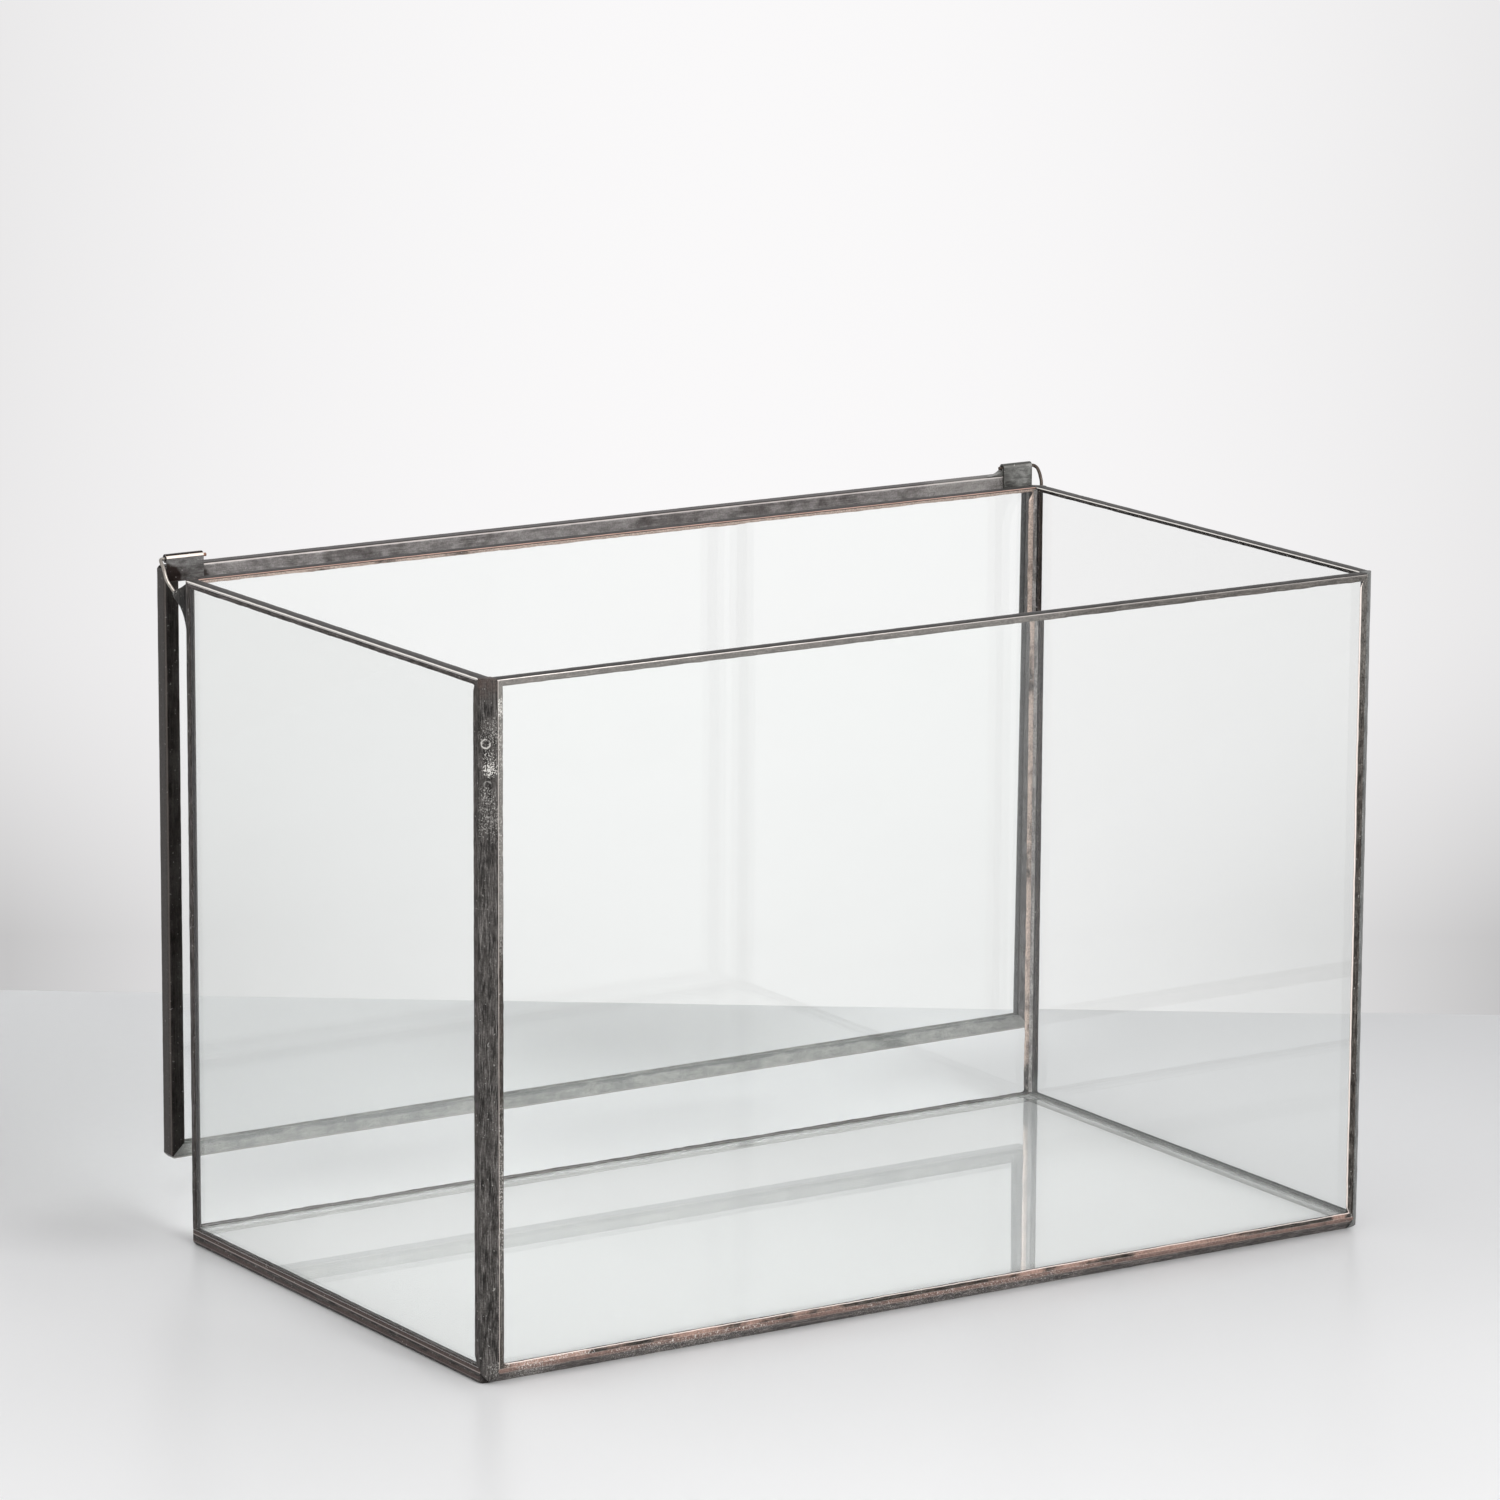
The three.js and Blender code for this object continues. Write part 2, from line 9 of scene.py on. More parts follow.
import logging
import math
from collections.abc import Callable, Sequence
from dataclasses import dataclass, field, replace
from enum import Enum
from typing import Any

import bmesh
import bpy
import numpy as np
from mathutils import Matrix, Vector, noise


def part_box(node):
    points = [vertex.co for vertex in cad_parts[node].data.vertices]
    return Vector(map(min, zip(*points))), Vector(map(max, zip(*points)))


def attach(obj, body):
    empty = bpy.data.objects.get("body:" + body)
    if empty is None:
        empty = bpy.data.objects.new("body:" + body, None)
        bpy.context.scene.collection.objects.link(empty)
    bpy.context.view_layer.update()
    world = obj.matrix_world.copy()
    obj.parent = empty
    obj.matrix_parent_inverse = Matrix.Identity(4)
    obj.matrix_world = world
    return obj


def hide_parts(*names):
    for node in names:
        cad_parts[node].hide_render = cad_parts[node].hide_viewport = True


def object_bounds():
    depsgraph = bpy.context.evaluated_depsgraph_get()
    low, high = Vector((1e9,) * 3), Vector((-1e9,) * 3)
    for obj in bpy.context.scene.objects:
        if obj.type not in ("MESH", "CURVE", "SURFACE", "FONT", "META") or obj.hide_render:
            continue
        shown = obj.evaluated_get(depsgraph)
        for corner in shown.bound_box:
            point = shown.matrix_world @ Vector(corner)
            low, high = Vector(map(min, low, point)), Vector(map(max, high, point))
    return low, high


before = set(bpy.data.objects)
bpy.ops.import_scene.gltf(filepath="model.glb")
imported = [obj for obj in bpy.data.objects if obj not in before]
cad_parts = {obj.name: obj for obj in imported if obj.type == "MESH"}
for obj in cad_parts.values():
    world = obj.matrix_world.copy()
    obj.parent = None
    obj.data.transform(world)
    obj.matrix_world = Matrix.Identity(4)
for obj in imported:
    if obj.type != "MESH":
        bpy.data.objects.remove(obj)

CAD_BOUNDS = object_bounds()
LOG = logging.getLogger("terrarium")
MM = 0.001
WALLS = ("front", "back", "left", "right")
CORNERS = ("front_left", "front_right", "back_left", "back_right")
RIGHTWARDS, BACKWARDS, UPWARDS = (1.0, 0.0, 0.0), (0.0, 1.0, 0.0), (0.0, 0.0, 1.0)
Pair = tuple[float, float]
Triple = tuple[float, float, float]
Four = tuple[float, float, float, float]


class Body(Enum):
    """The two bodies that the hinge joins."""

    BOX = "box"
    LID = "lid"


class Slot(Enum):
    """Material slots of the record for the made pieces; nothing in this script uses them."""

    FOIL = "copper_foil"
    SOLDER = "solder"
    BORDER = "lid_border"
    TUBE = "hinge_tube"
    WIRE = "hinge_wire"


# --- Node helpers ----------------------------------------------------------------------------
@dataclass(frozen=True)
class Grain:
    """A noise pattern: frequency along each axis, octaves, and a shift that sets it apart."""

    stretch: Triple
    detail: float = 3.0
    shift: float = 0.0
    shift_shares: Triple = (1.0, 1.7, 0.6)
    roughness: float = 0.6


def math_method(kind: str, first: bool = True) -> Callable[["Value", Any], "Value"]:
    """Makes a method of a value that adds one Math node.

    Args:
        kind: Name of the Math operation.
        first: Whether the value itself is the first operand.

    Returns:
        The method.
    """

    def method(value: "Value", other: Any) -> "Value":
        """The result with another number or value."""
        return value.math(kind, other, first=first)

    return method


class Value:
    """A socket of a node tree, with arithmetic that adds Math nodes."""

    def __init__(self, bench: "Bench", socket: bpy.types.NodeSocket) -> None:
        """Wraps one output socket."""
        self.bench = bench
        self.socket = socket

    def math(self, kind: str, *others: Any, first: bool = True, clamp: bool = False) -> "Value":
        """One Math node on this value.

        Args:
            kind: Name of the Math operation.
            others: The other operands, numbers or values.
            first: Whether this value is the first operand.
            clamp: Whether the result is held between 0 and 1.

        Returns:
            The result.
        """
        operands = [self, *others] if first else [*others, self]
        settings = {"operation": kind, "use_clamp": clamp}
        return self.bench.node("ShaderNodeMath", settings, dict(enumerate(operands)))

    __add__ = __radd__ = math_method("ADD")
    __sub__ = math_method("SUBTRACT")
    __rsub__ = math_method("SUBTRACT", first=False)
    __mul__ = __rmul__ = math_method("MULTIPLY")
    __truediv__ = math_method("DIVIDE")
    low = math_method("MINIMUM")
    high = math_method("MAXIMUM")

    def held(self) -> "Value":
        """This value held between 0 and 1."""
        return self.math("ADD", 0.0, clamp=True)

    def rise(self, start: float, end: float) -> "Value":
        """A smooth step of this value.

        Args:
            start: Where it begins.
            end: Where it is done.

        Returns:
            0 up to the start and 1 past the end.
        """
        settings = {"interpolation_type": "SMOOTHSTEP"}
        sockets = {"Value": self, "From Min": start, "From Max": end}
        return self.bench.node("ShaderNodeMapRange", settings, sockets)


class Bench:
    """Adds nodes to one tree."""

    def __init__(self, tree: bpy.types.NodeTree) -> None:
        """Starts work on a tree."""
        self.tree = tree

    def node(
        self,
        kind: str,
        settings: dict[str, Any] | None = None,
        sockets: dict[Any, Any] | None = None,
        out: int | str = 0,
    ) -> Value:
        """Adds one node.

        Args:
            kind: The node's type.
            settings: Its properties, set first.
            sockets: Values or links of its inputs, by name or number.
            out: Name or number of the output that is returned.

        Returns:
            That output.
        """
        made = self.tree.nodes.new(kind)
        for name, value in (settings or {}).items():
            setattr(made, name, value)
        for name, value in (sockets or {}).items():
            if isinstance(value, Value):
                self.tree.links.new(value.socket, made.inputs[name])
            else:
                made.inputs[name].default_value = value
        return Value(self, made.outputs[out])

    def close(self, kind: str, socket: str, result: Value) -> None:
        """Links a result to the named input of a new output node."""
        output = self.tree.nodes.new(kind)
        self.tree.links.new(result.socket, output.inputs[socket])

    def blend(self, factor: Any, under: Any, over: Any) -> Value:
        """Mixes two colours; the factor is the share of the second one."""
        sockets = {0: factor, 6: rgba(under), 7: rgba(over)}
        return self.node("ShaderNodeMix", {"data_type": "RGBA"}, sockets, 2)

    def vector(self, kind: str, first: Any, second: Any = None, out: int | str = 0) -> Value:
        """One Vector Math node on one vector or two."""
        sockets = {0: first} if second is None else {0: first, 1: second}
        return self.node("ShaderNodeVectorMath", {"operation": kind}, sockets, out)

    def xyz(self, x: Any = 0.0, y: Any = 0.0, z: Any = 0.0) -> Value:
        """A vector made of three numbers."""
        return self.node("ShaderNodeCombineXYZ", None, {"X": x, "Y": y, "Z": z})

    def part(self, vector: Value, axis: str) -> Value:
        """The X, Y or Z of a vector."""
        return self.node("ShaderNodeSeparateXYZ", None, {0: vector}, axis)

    def toned(self, colour: Value, tone: Value) -> Value:
        """A colour made darker or lighter."""
        return self.vector("MULTIPLY", colour, self.xyz(tone, tone, tone))

    def object_place(self) -> Value:
        """Object coordinates, in metres."""
        return self.node("ShaderNodeTexCoord", None, None, "Object")

    def place(self) -> Value:
        """Object coordinates, in millimetres."""
        return self.vector("MULTIPLY", self.object_place(), (1 / MM, 1 / MM, 1 / MM))

    def away(self, at: Value, place: Sequence[float]) -> Value:
        """Distance from a place."""
        return self.vector("DISTANCE", at, place, "Value")

    def noise(self, at: Value, grain: Grain) -> Value:
        """Noise between 0 and 1.

        Args:
            at: Coordinates.
            grain: The pattern.

        Returns:
            The noise's factor.
        """
        scaled = self.vector("MULTIPLY", at, grain.stretch)
        shift = tuple(grain.shift * share for share in grain.shift_shares)
        moved = self.vector("ADD", scaled, shift)
        sockets = {
            "Vector": moved, "Scale": 1.0, "Detail": grain.detail, "Roughness": grain.roughness
        }
        return self.node("ShaderNodeTexNoise", {"noise_dimensions": "3D"}, sockets, "Fac")

    def attribute(self, name: str, out: str = "Fac") -> Value:
        """Reads an attribute of the piece's mesh in a material."""
        return self.node("ShaderNodeAttribute", {"attribute_name": name}, None, out)

    def stored(self, name: str) -> Value:
        """Reads a stored number in a geometry tree."""
        kind = {"data_type": "FLOAT"}
        return self.node("GeometryNodeInputNamedAttribute", kind, {"Name": name}, "Attribute")

    def store(self, geometry: Value, name: str, value: Value, kind: str = "FLOAT") -> Value:
        """Stores a value on the points of a geometry.

        Args:
            geometry: The geometry.
            name: The attribute's name.
            value: The value.
            kind: Its data type.

        Returns:
            The geometry with the attribute.
        """
        sockets = {"Geometry": geometry, "Name": name, "Value": value}
        settings = {"data_type": kind, "domain": "POINT"}
        return self.node("GeometryNodeStoreNamedAttribute", settings, sockets)

    def pushed(self, geometry: Value, height: Value, **moved: Value) -> Value:
        """Pushes points out along their normals.

        Args:
            geometry: The geometry.
            height: How far out each point goes.
            moved: The input Position, where the points also get a new place.

        Returns:
            The changed geometry.
        """
        normal = self.node("GeometryNodeInputNormal")
        scale = {"operation": "SCALE"}
        offset = self.node("ShaderNodeVectorMath", scale, {0: normal, "Scale": height})
        sockets = {"Geometry": geometry, "Offset": offset, **moved}
        return self.node("GeometryNodeSetPosition", None, sockets)


def rgba(colour: Any) -> Any:
    """A colour with its alpha, or a value as it is."""
    return colour if isinstance(colour, Value) else (*colour, 1.0)


def cleared(block: bpy.types.Material | bpy.types.World) -> Bench:
    """Empties the node tree of a material or of the world.

    Args:
        block: The material or world.

    Returns:
        A bench on its tree.
    """
    block.use_nodes = True
    block.node_tree.nodes.clear()
    return Bench(block.node_tree)


def stretched(value: float) -> Triple:
    """The same frequency along all three axes."""
    return (value, value, value)


# --- Finishes --------------------------------------------------------------------------------
STREAK = Grain((0.07, 2.6, 1.0), 4.0)
SCRATCH = Grain((0.35, 7.0, 1.0), 2.0, 11.0)
MOTTLE = Grain((0.28, 0.62, 1.0), 5.0, 4.0)
FINE = Grain(stretched(2.7), 3.0, 7.0)
PATCH = Grain(stretched(0.1), 4.0, 2.0)
SPECK = Grain(stretched(1.3), 1.0, 19.0)
RING_BREAKS = Grain(stretched(0.75), 1.0, 31.0)
DUST = Grain(stretched(0.9), 2.0, 3.0)
SMEAR = Grain((0.02, 0.02, 0.05), 3.0, 8.0)
TABLE_GRAIN = Grain(stretched(300.0), 2.0)
FROST_GRAINS: Triple = (3.6, 3.6, 2.6)
FLUX_AND_GLINT_COLOUR: Triple = (0.72, 0.7, 0.66)
LOW_BAND: Pair = (4.0, 14.0)
BUMP_DEPTH = 0.00009
# Where a noise or an attribute starts to show, and where it shows in full.
STREAK_SHINE, SCRATCH_SHINE = (0.52, 0.74), (0.5, 0.72)
BARE_PATCH, BARE_START = (0.72, 0.94), (0.0, 0.35)
GRIT, WORN_AND_HIGHLIT_EDGE, CHIPS = (0.36, 0.64), (0.35, 0.8), (0.2, 0.45)
SPECKS, RING_GAPS = (0.71, 0.76), (0.4, 0.52)
FROST_SPECKS, FROST_RIM = (0.57, 0.64), (0.0, 0.3)
DUST_SPECKS, SMEARS = (0.7, 0.78), (0.45, 0.8)
# Shares of a reach within which a mark is at its fullest.
FROST_CORE, STAIN_CORE = 0.1, 0.3


@dataclass(frozen=True)
class FluxRing:
    """A broken ring where a drop of flux has dried, in frame millimetres."""

    place: Triple
    radius: float
    strength: float = 0.8
    fray: float = 0.7
    line: Pair = (0.06, 0.24)

    def mask(self, bench: Bench, at: Value, fine: Value) -> Value:
        """Share of the ring at each place.

        Args:
            bench: The material's bench.
            at: Object coordinates in millimetres.
            fine: Noise that frays its line.

        Returns:
            A mask from 0 to its strength.
        """
        frayed = (fine - 0.5) * (self.radius * self.fray)
        off = (bench.away(at, self.place) - self.radius + frayed).math("ABSOLUTE")
        line = 1.0 - off.rise(self.radius * self.line[0], self.radius * self.line[1])
        broken = bench.noise(at, RING_BREAKS).rise(*RING_GAPS)
        return line * broken * self.strength


@dataclass(frozen=True)
class Frost:
    """A cloud of fine pale specks, in frame millimetres: dried flux, and on the front seam
    painted glints.
    """

    place: Triple
    reach: float
    density: float = 0.5
    strength: float = 0.7

    def mask(self, bench: Bench, at: Value, fine: Value) -> Value:
        """Share of the specks at each place.

        Args:
            bench: The material's bench.
            at: Object coordinates in millimetres.
            fine: Noise that makes the smallest specks.

        Returns:
            A mask from 0 to its strength.
        """
        near = 1.0 - bench.away(at, self.place).rise(self.reach * FROST_CORE, self.reach)
        grains = bench.noise(at, Grain(FROST_GRAINS, 1.0, self.reach)) * 0.6 + fine * 0.4
        specks = (grains + near * (self.density * 0.14)).rise(*FROST_SPECKS)
        return specks * near.rise(*FROST_RIM) * (self.strength * 0.5 + fine * self.strength)


def frosts(y: float, *rows: tuple[float, float, float, float, float]) -> tuple[Frost, ...]:
    """Clouds at one depth, each given as x, z, reach, density and strength."""
    return tuple(Frost((x, y, z), *others) for x, z, *others in rows)


@dataclass(frozen=True)
class Stain:
    """A place where more of the bare metal shows, in frame millimetres."""

    place: Triple
    reach: float
    amount: float

    def share(self, bench: Bench, at: Value) -> Value:
        """How much more bare metal shows at each place."""
        away = bench.away(at, self.place)
        return (1.0 - away.rise(self.reach * STAIN_CORE, self.reach)) * self.amount


@dataclass(frozen=True)
class MetalFinish:
    """Hand-worked metal: mottled patina, streaks along the run, bare patches, and pale edges that
    are partly real wear and partly a painted highlight.

    The fade is a start, an end and a share: from the one to the other along X, that share of the
    edge wear and painted highlight is lost.
    """

    name: str
    dark: Triple
    mid: Triple
    light: Triple
    bare: Triple
    worn_and_highlight: Triple
    mottle: Pair = (0.36, 0.66)
    streaks: float = 0.7
    bare_share: float = 0.2
    bare_inside: float = 0.0
    bare_low: float = 0.0
    specks: float = 0.5
    edge_wear_and_highlight: float = 0.8
    roughness: Pair = (0.3, 0.55)
    metallic: float = 0.9
    bump: float = 0.5
    grit: float = 0.22
    highlight_fade: Triple | None = None
    marks: tuple[FluxRing | Frost, ...] = ()
    stains: tuple[Stain, ...] = ()

    def material(self) -> bpy.types.Material:
        """Builds the material from its nodes.

        Returns:
            The material.
        """
        made = bpy.data.materials.new(self.name)
        bench = cleared(made)
        grain = bench.attribute("grain", "Vector")
        at = bench.place()
        streak, scratch, mottle = (bench.noise(grain, g) for g in (STREAK, SCRATCH, MOTTLE))
        fine, patch = bench.noise(at, FINE), bench.noise(at, PATCH)

        colour = bench.blend(mottle.rise(*self.mottle), self.dark, self.mid)
        shine = streak.rise(*STREAK_SHINE) * 0.55 + scratch.rise(*SCRATCH_SHINE) * 0.65
        colour = bench.blend((shine * self.streaks).held(), colour, self.light)
        low = 1.0 - bench.part(at, "Z").rise(*LOW_BAND)
        # The inside mark shows more bare metal on inner lips; on the lid's low strip and the
        # knuckle's crown this darkening is painted shade.
        share = self.bare_share + bench.attribute("inside") * self.bare_inside
        share = share + low * self.bare_low
        for stain in self.stains:
            share = share + stain.share(bench, at)
        bare = (patch + streak * 0.35 + share * 0.5).rise(*BARE_PATCH) * share.rise(*BARE_START)
        colour = bench.blend(bare.held(), colour, self.bare)
        tone = (fine.rise(*GRIT) * 1.2 + scratch * 0.8 - 1.0) * self.grit + 1.0
        colour = bench.toned(colour, tone)
        chips = (mottle * 0.7 + fine * 0.6).rise(*CHIPS)
        # Pale edge colour: partly real wear, partly a painted highlight along rounded edges.
        edge = bench.attribute("edge").rise(*WORN_AND_HIGHLIT_EDGE) * chips
        if self.highlight_fade:
            start, end, lost = self.highlight_fade
            edge = edge * (1.0 - bench.part(at, "X").rise(start, end) * lost)
        colour = bench.blend((edge * self.edge_wear_and_highlight).held(), colour, self.worn_and_highlight)
        speck = bench.noise(at, SPECK).rise(*SPECKS) * self.specks
        for mark in self.marks:
            speck = speck.high(mark.mask(bench, at, fine))
        colour = bench.blend(speck.held(), colour, FLUX_AND_GLINT_COLOUR)

        span = self.roughness[1] - self.roughness[0]
        rough = (fine * 0.5 + mottle * 0.6 + speck * 0.5) * span + self.roughness[0]
        height = streak * 0.8 + scratch * 0.35 + mottle * 0.6 + fine * 0.35
        relief = {"Strength": self.bump, "Distance": BUMP_DEPTH, "Height": height}
        sockets = {
            "Base Color": colour,
            "Roughness": rough.held(),
            "Metallic": (self.metallic - speck * 0.7 - mottle * 0.1).held(),
            "Normal": bench.node("ShaderNodeBump", None, relief),
        }
        shader = bench.node("ShaderNodeBsdfPrincipled", None, sockets)
        bench.close("ShaderNodeOutputMaterial", "Surface", shader)
        return made


@dataclass(frozen=True)
class ClearGlass:
    """Clear window glass with a faint green cast; lamps shine through it."""

    name: str = "clear_glass"
    tint: Triple = (0.982, 0.99, 0.985)
    dusty: Triple = (0.93, 0.94, 0.935)
    shadow: Triple = (0.972, 0.978, 0.976)
    index: float = 1.5

    def material(self) -> bpy.types.Material:
        """Builds the material from its nodes.

        Returns:
            The material.
        """
        made = bpy.data.materials.new(self.name)
        bench = cleared(made)
        at = bench.place()
        dust = bench.noise(at, DUST).rise(*DUST_SPECKS)
        smear = bench.noise(at, SMEAR).rise(*SMEARS) * 0.12
        sockets = {
            "Base Color": bench.blend((dust * 0.35 + smear).held(), self.tint, self.dusty),
            "Roughness": 0.0,
            "IOR": self.index,
            "Transmission Weight": 1.0,
        }
        glass = bench.node("ShaderNodeBsdfPrincipled", None, sockets)
        clear = bench.node("ShaderNodeBsdfTransparent", None, {"Color": rgba(self.shadow)})
        lamp = bench.node("ShaderNodeLightPath", None, None, "Is Shadow Ray")
        mixed = bench.node("ShaderNodeMixShader", None, {0: lamp, 1: glass, 2: clear})
        bench.close("ShaderNodeOutputMaterial", "Surface", mixed)
        return made


PATINA = MetalFinish(
    "patina",
    dark=(0.019, 0.017, 0.0155), mid=(0.082, 0.075, 0.07), light=(0.36, 0.34, 0.325),
    bare=(0.1, 0.076, 0.067), worn_and_highlight=(0.72, 0.66, 0.6), bare_share=0.05, streaks=0.7,
    specks=0.35, metallic=0.7, roughness=(0.34, 0.6), grit=0.42,
)
NEAR_POST = replace(
    PATINA,
    name="patina_solder",
    marks=(
        FluxRing((-123.73, -73.89, 149.1), 1.0),
        FluxRing((-123.4, -74.2, 139.8), 0.85, 0.3),
        Frost((-122.2, -75.4, 151.5), 5.0, 0.35, 0.42),
        Frost((-123.0, -74.7, 143.3), 2.6, 0.8, 0.9),
        Frost((-123.2, -74.6, 146.2), 2.2, 0.5, 0.6),
        Frost((-123.6, -74.1, 137.5), 2.6, 0.4, 0.45),
        Frost((-122.2, -75.4, 132.0), 7.0, 0.3, 0.35),
        Frost((-122.0, -75.5, 3.5), 3.0, 0.35, 0.35),
    ),
    stains=(Stain((-123.4, -74.2, 163.5), 6.0, 0.3),),
)
SEAM_SOLDER = replace(
    PATINA, name="seam_solder", dark=(0.022, 0.019, 0.018), mid=(0.075, 0.068, 0.064)
)
POST_TONES = {
    "front_left": NEAR_POST,
    "front_right": replace(
        PATINA, name="grey_solder", dark=(0.1, 0.104, 0.1), mid=(0.22, 0.228, 0.222)
    ),
    "back_left": SEAM_SOLDER,
    "back_right": SEAM_SOLDER,
}
# The rims' near-white edge colour is mostly a painted highlight on the outer top edge.
RIM_SOLDER = replace(
    PATINA, name="rim_solder",
    dark=(0.014, 0.012, 0.011), mid=(0.036, 0.032, 0.029), light=(0.1, 0.09, 0.085),
    worn_and_highlight=(1.0, 0.96, 0.91), streaks=0.4, specks=0.1, edge_wear_and_highlight=1.0, metallic=0.55,
)
RIM_TONES = {
    # On the front rim that painted highlight is dimmed along X.
    "front": replace(
        RIM_SOLDER, name="front_rim_solder", worn_and_highlight=(1.0, 0.93, 0.88), highlight_fade=(-100.0, 85.0, 0.62)
    ),
    "back": replace(RIM_SOLDER, name="back_rim_solder", worn_and_highlight=(0.8, 0.52, 0.43), edge_wear_and_highlight=0.75),
    "left": RIM_SOLDER,
    "right": RIM_SOLDER,
}
INNER_SOLDER = replace(
    PATINA, name="inner_base_solder", dark=(0.2, 0.21, 0.2), mid=(0.34, 0.35, 0.34), metallic=0.3
)
INNER_TONES = {
    "front": SEAM_SOLDER, "back": INNER_SOLDER, "left": SEAM_SOLDER, "right": INNER_SOLDER
}
PALE_SOLDER = replace(
    PATINA, name="pale_solder",
    dark=(0.154, 0.145, 0.139), mid=(0.323, 0.307, 0.296), light=(0.48, 0.46, 0.45),
    mottle=(0.4, 0.6), metallic=0.35, grit=0.4,
)
BOTTOM_SEAM = replace(
    SEAM_SOLDER, name="bottom_seam_solder", bare=(0.42, 0.43, 0.41), bare_inside=1.2,
    bare_share=0.0,
)
FRONT_SEAM = replace(
    PATINA, name="front_seam_solder",
    dark=(0.04, 0.034, 0.032), mid=(0.14, 0.124, 0.115), light=(0.55, 0.51, 0.49),
    bare=(0.24, 0.16, 0.135), worn_and_highlight=(0.8, 0.74, 0.7), bare_share=0.0, bare_inside=0.62,
    streaks=0.85,
    # These pale specks along the seam are painted glints of its bumps.
    marks=(
        Frost((-112.0, -75.0, 1.5), 9.0, 0.4, 0.6),
        Frost((-70.0, -75.2, 2.0), 30.0, 0.2, 0.7),
        Frost((10.0, -75.2, 2.0), 45.0, 0.1, 0.7),
    ),
)
SEAM_TONES = {
    "front": FRONT_SEAM,
    "back": BOTTOM_SEAM,
    "left": replace(
        FRONT_SEAM, name="left_seam_solder",
        dark=(0.018, 0.015, 0.014), mid=(0.06, 0.053, 0.05), light=(0.24, 0.22, 0.21),
        bare=(0.085, 0.06, 0.054), worn_and_highlight=(0.5, 0.44, 0.41), bare_inside=0.8, marks=(),
    ),
    "right": BOTTOM_SEAM,
}
FRONT_LIP = -75.75
TINNED_FOIL = MetalFinish(
    "tinned_foil",
    dark=(0.024, 0.02, 0.017), mid=(0.075, 0.066, 0.058), light=(0.32, 0.29, 0.26),
    bare=(0.46, 0.3, 0.24), worn_and_highlight=(0.93, 0.84, 0.77), bare_share=0.0, streaks=0.6, edge_wear_and_highlight=0.9,
    specks=0.4, metallic=0.8,
)
FOIL_TONES = {
    "base": replace(
        TINNED_FOIL, name="base_foil_tone",
        dark=(0.2, 0.21, 0.2), mid=(0.36, 0.37, 0.35), metallic=0.3,
    ),
    "front": replace(
        TINNED_FOIL, name="front_foil_tone",
        bare=(0.43, 0.285, 0.235), bare_share=0.06, grit=0.4, worn_and_highlight=(0.95, 0.84, 0.78),
        marks=(
            Frost((-121.3, FRONT_LIP, 135.0), 45.0, 4.0, 0.22),
            Frost((-121.7, -75.8, 157.5), 3.5, 0.7, 0.9),
            *frosts(
                FRONT_LIP,
                (-121.3, 148.0, 14.0, 0.45, 0.6), (-121.3, 128.0, 12.0, 0.4, 0.5),
                (-121.3, 112.0, 14.0, 0.3, 0.4), (-121.3, 36.0, 34.0, 4.0, 0.07),
                (-121.3, 44.0, 30.0, 0.4, 0.5), (-108.0, 4.0, 16.0, 0.4, 0.7),
                (-80.0, 163.0, 60.0, 4.0, 0.2), (-10.0, 163.0, 60.0, 4.0, 0.2),
                (70.0, 163.0, 80.0, 4.0, 0.1),
            ),
        ),
        stains=tuple(
            Stain((x, FRONT_LIP, 4.2), reach, amount)
            for x, reach, amount in (
                (-108.0, 14.5, 0.75), (-60.0, 45.0, 0.3), (117.5, 3.5, 0.4), (50.0, 60.0, 0.28)
            )
        ),
    ),
    "back": replace(
        TINNED_FOIL, name="back_foil_tone",
        light=(0.5, 0.46, 0.42), bare=(0.5, 0.4, 0.345), worn_and_highlight=(0.8, 0.7, 0.64), grit=0.4,
        bare_inside=0.5, bare_low=-0.9, stains=(Stain((60.0, 62.5, 163.0), 75.0, 0.6),),
    ),
    "left": replace(
        TINNED_FOIL, name="left_foil_tone",
        light=(0.4, 0.35, 0.36), worn_and_highlight=(1.0, 0.97, 0.94), bare_share=0.03,
    ),
    "right": replace(
        TINNED_FOIL, name="right_foil_tone",
        dark=(0.012, 0.01, 0.01), mid=(0.045, 0.04, 0.04), bare=(0.2, 0.21, 0.2), bare_low=0.6,
    ),
}
LID_STRIP = MetalFinish(
    "lid_strip",
    dark=(0.16, 0.15, 0.145), mid=(0.31, 0.295, 0.29), light=(0.5, 0.48, 0.47),
    bare=(0.05, 0.042, 0.04), worn_and_highlight=(0.7, 0.64, 0.61), mottle=(0.2, 0.75), streaks=0.45,
    bare_inside=1.0, specks=0.2, edge_wear_and_highlight=0.6,
)
LID_TONES = {
    "hinge_side": replace(
        LID_STRIP, name="lid_strip_top",
        dark=(0.165, 0.154, 0.152), mid=(0.4, 0.38, 0.372),
        marks=(Frost((106.0, 71.75, 163.0), 17.0, 3.0, 0.16),),
        stains=(Stain((-122.0, 71.75, 164.0), 9.0, 1.0),),
    ),
    # Its bare colour, set by the shade on the inner lip, paints that shadow line.
    "front": replace(
        LID_STRIP, name="lid_strip_low",
        dark=(0.25, 0.25, 0.235), mid=(0.42, 0.42, 0.4), bare=(0.17, 0.178, 0.17),
    ),
    "left": replace(
        LID_STRIP, name="lid_strip_left",
        dark=(0.016, 0.013, 0.012), mid=(0.04, 0.035, 0.032), light=(0.15, 0.135, 0.125),
        bare=(0.075, 0.068, 0.064), worn_and_highlight=(0.14, 0.12, 0.11),
    ),
    "right": replace(
        LID_STRIP, name="lid_strip_right",
        dark=(0.05, 0.045, 0.043), mid=(0.17, 0.165, 0.16), edge_wear_and_highlight=0.3,
    ),
}
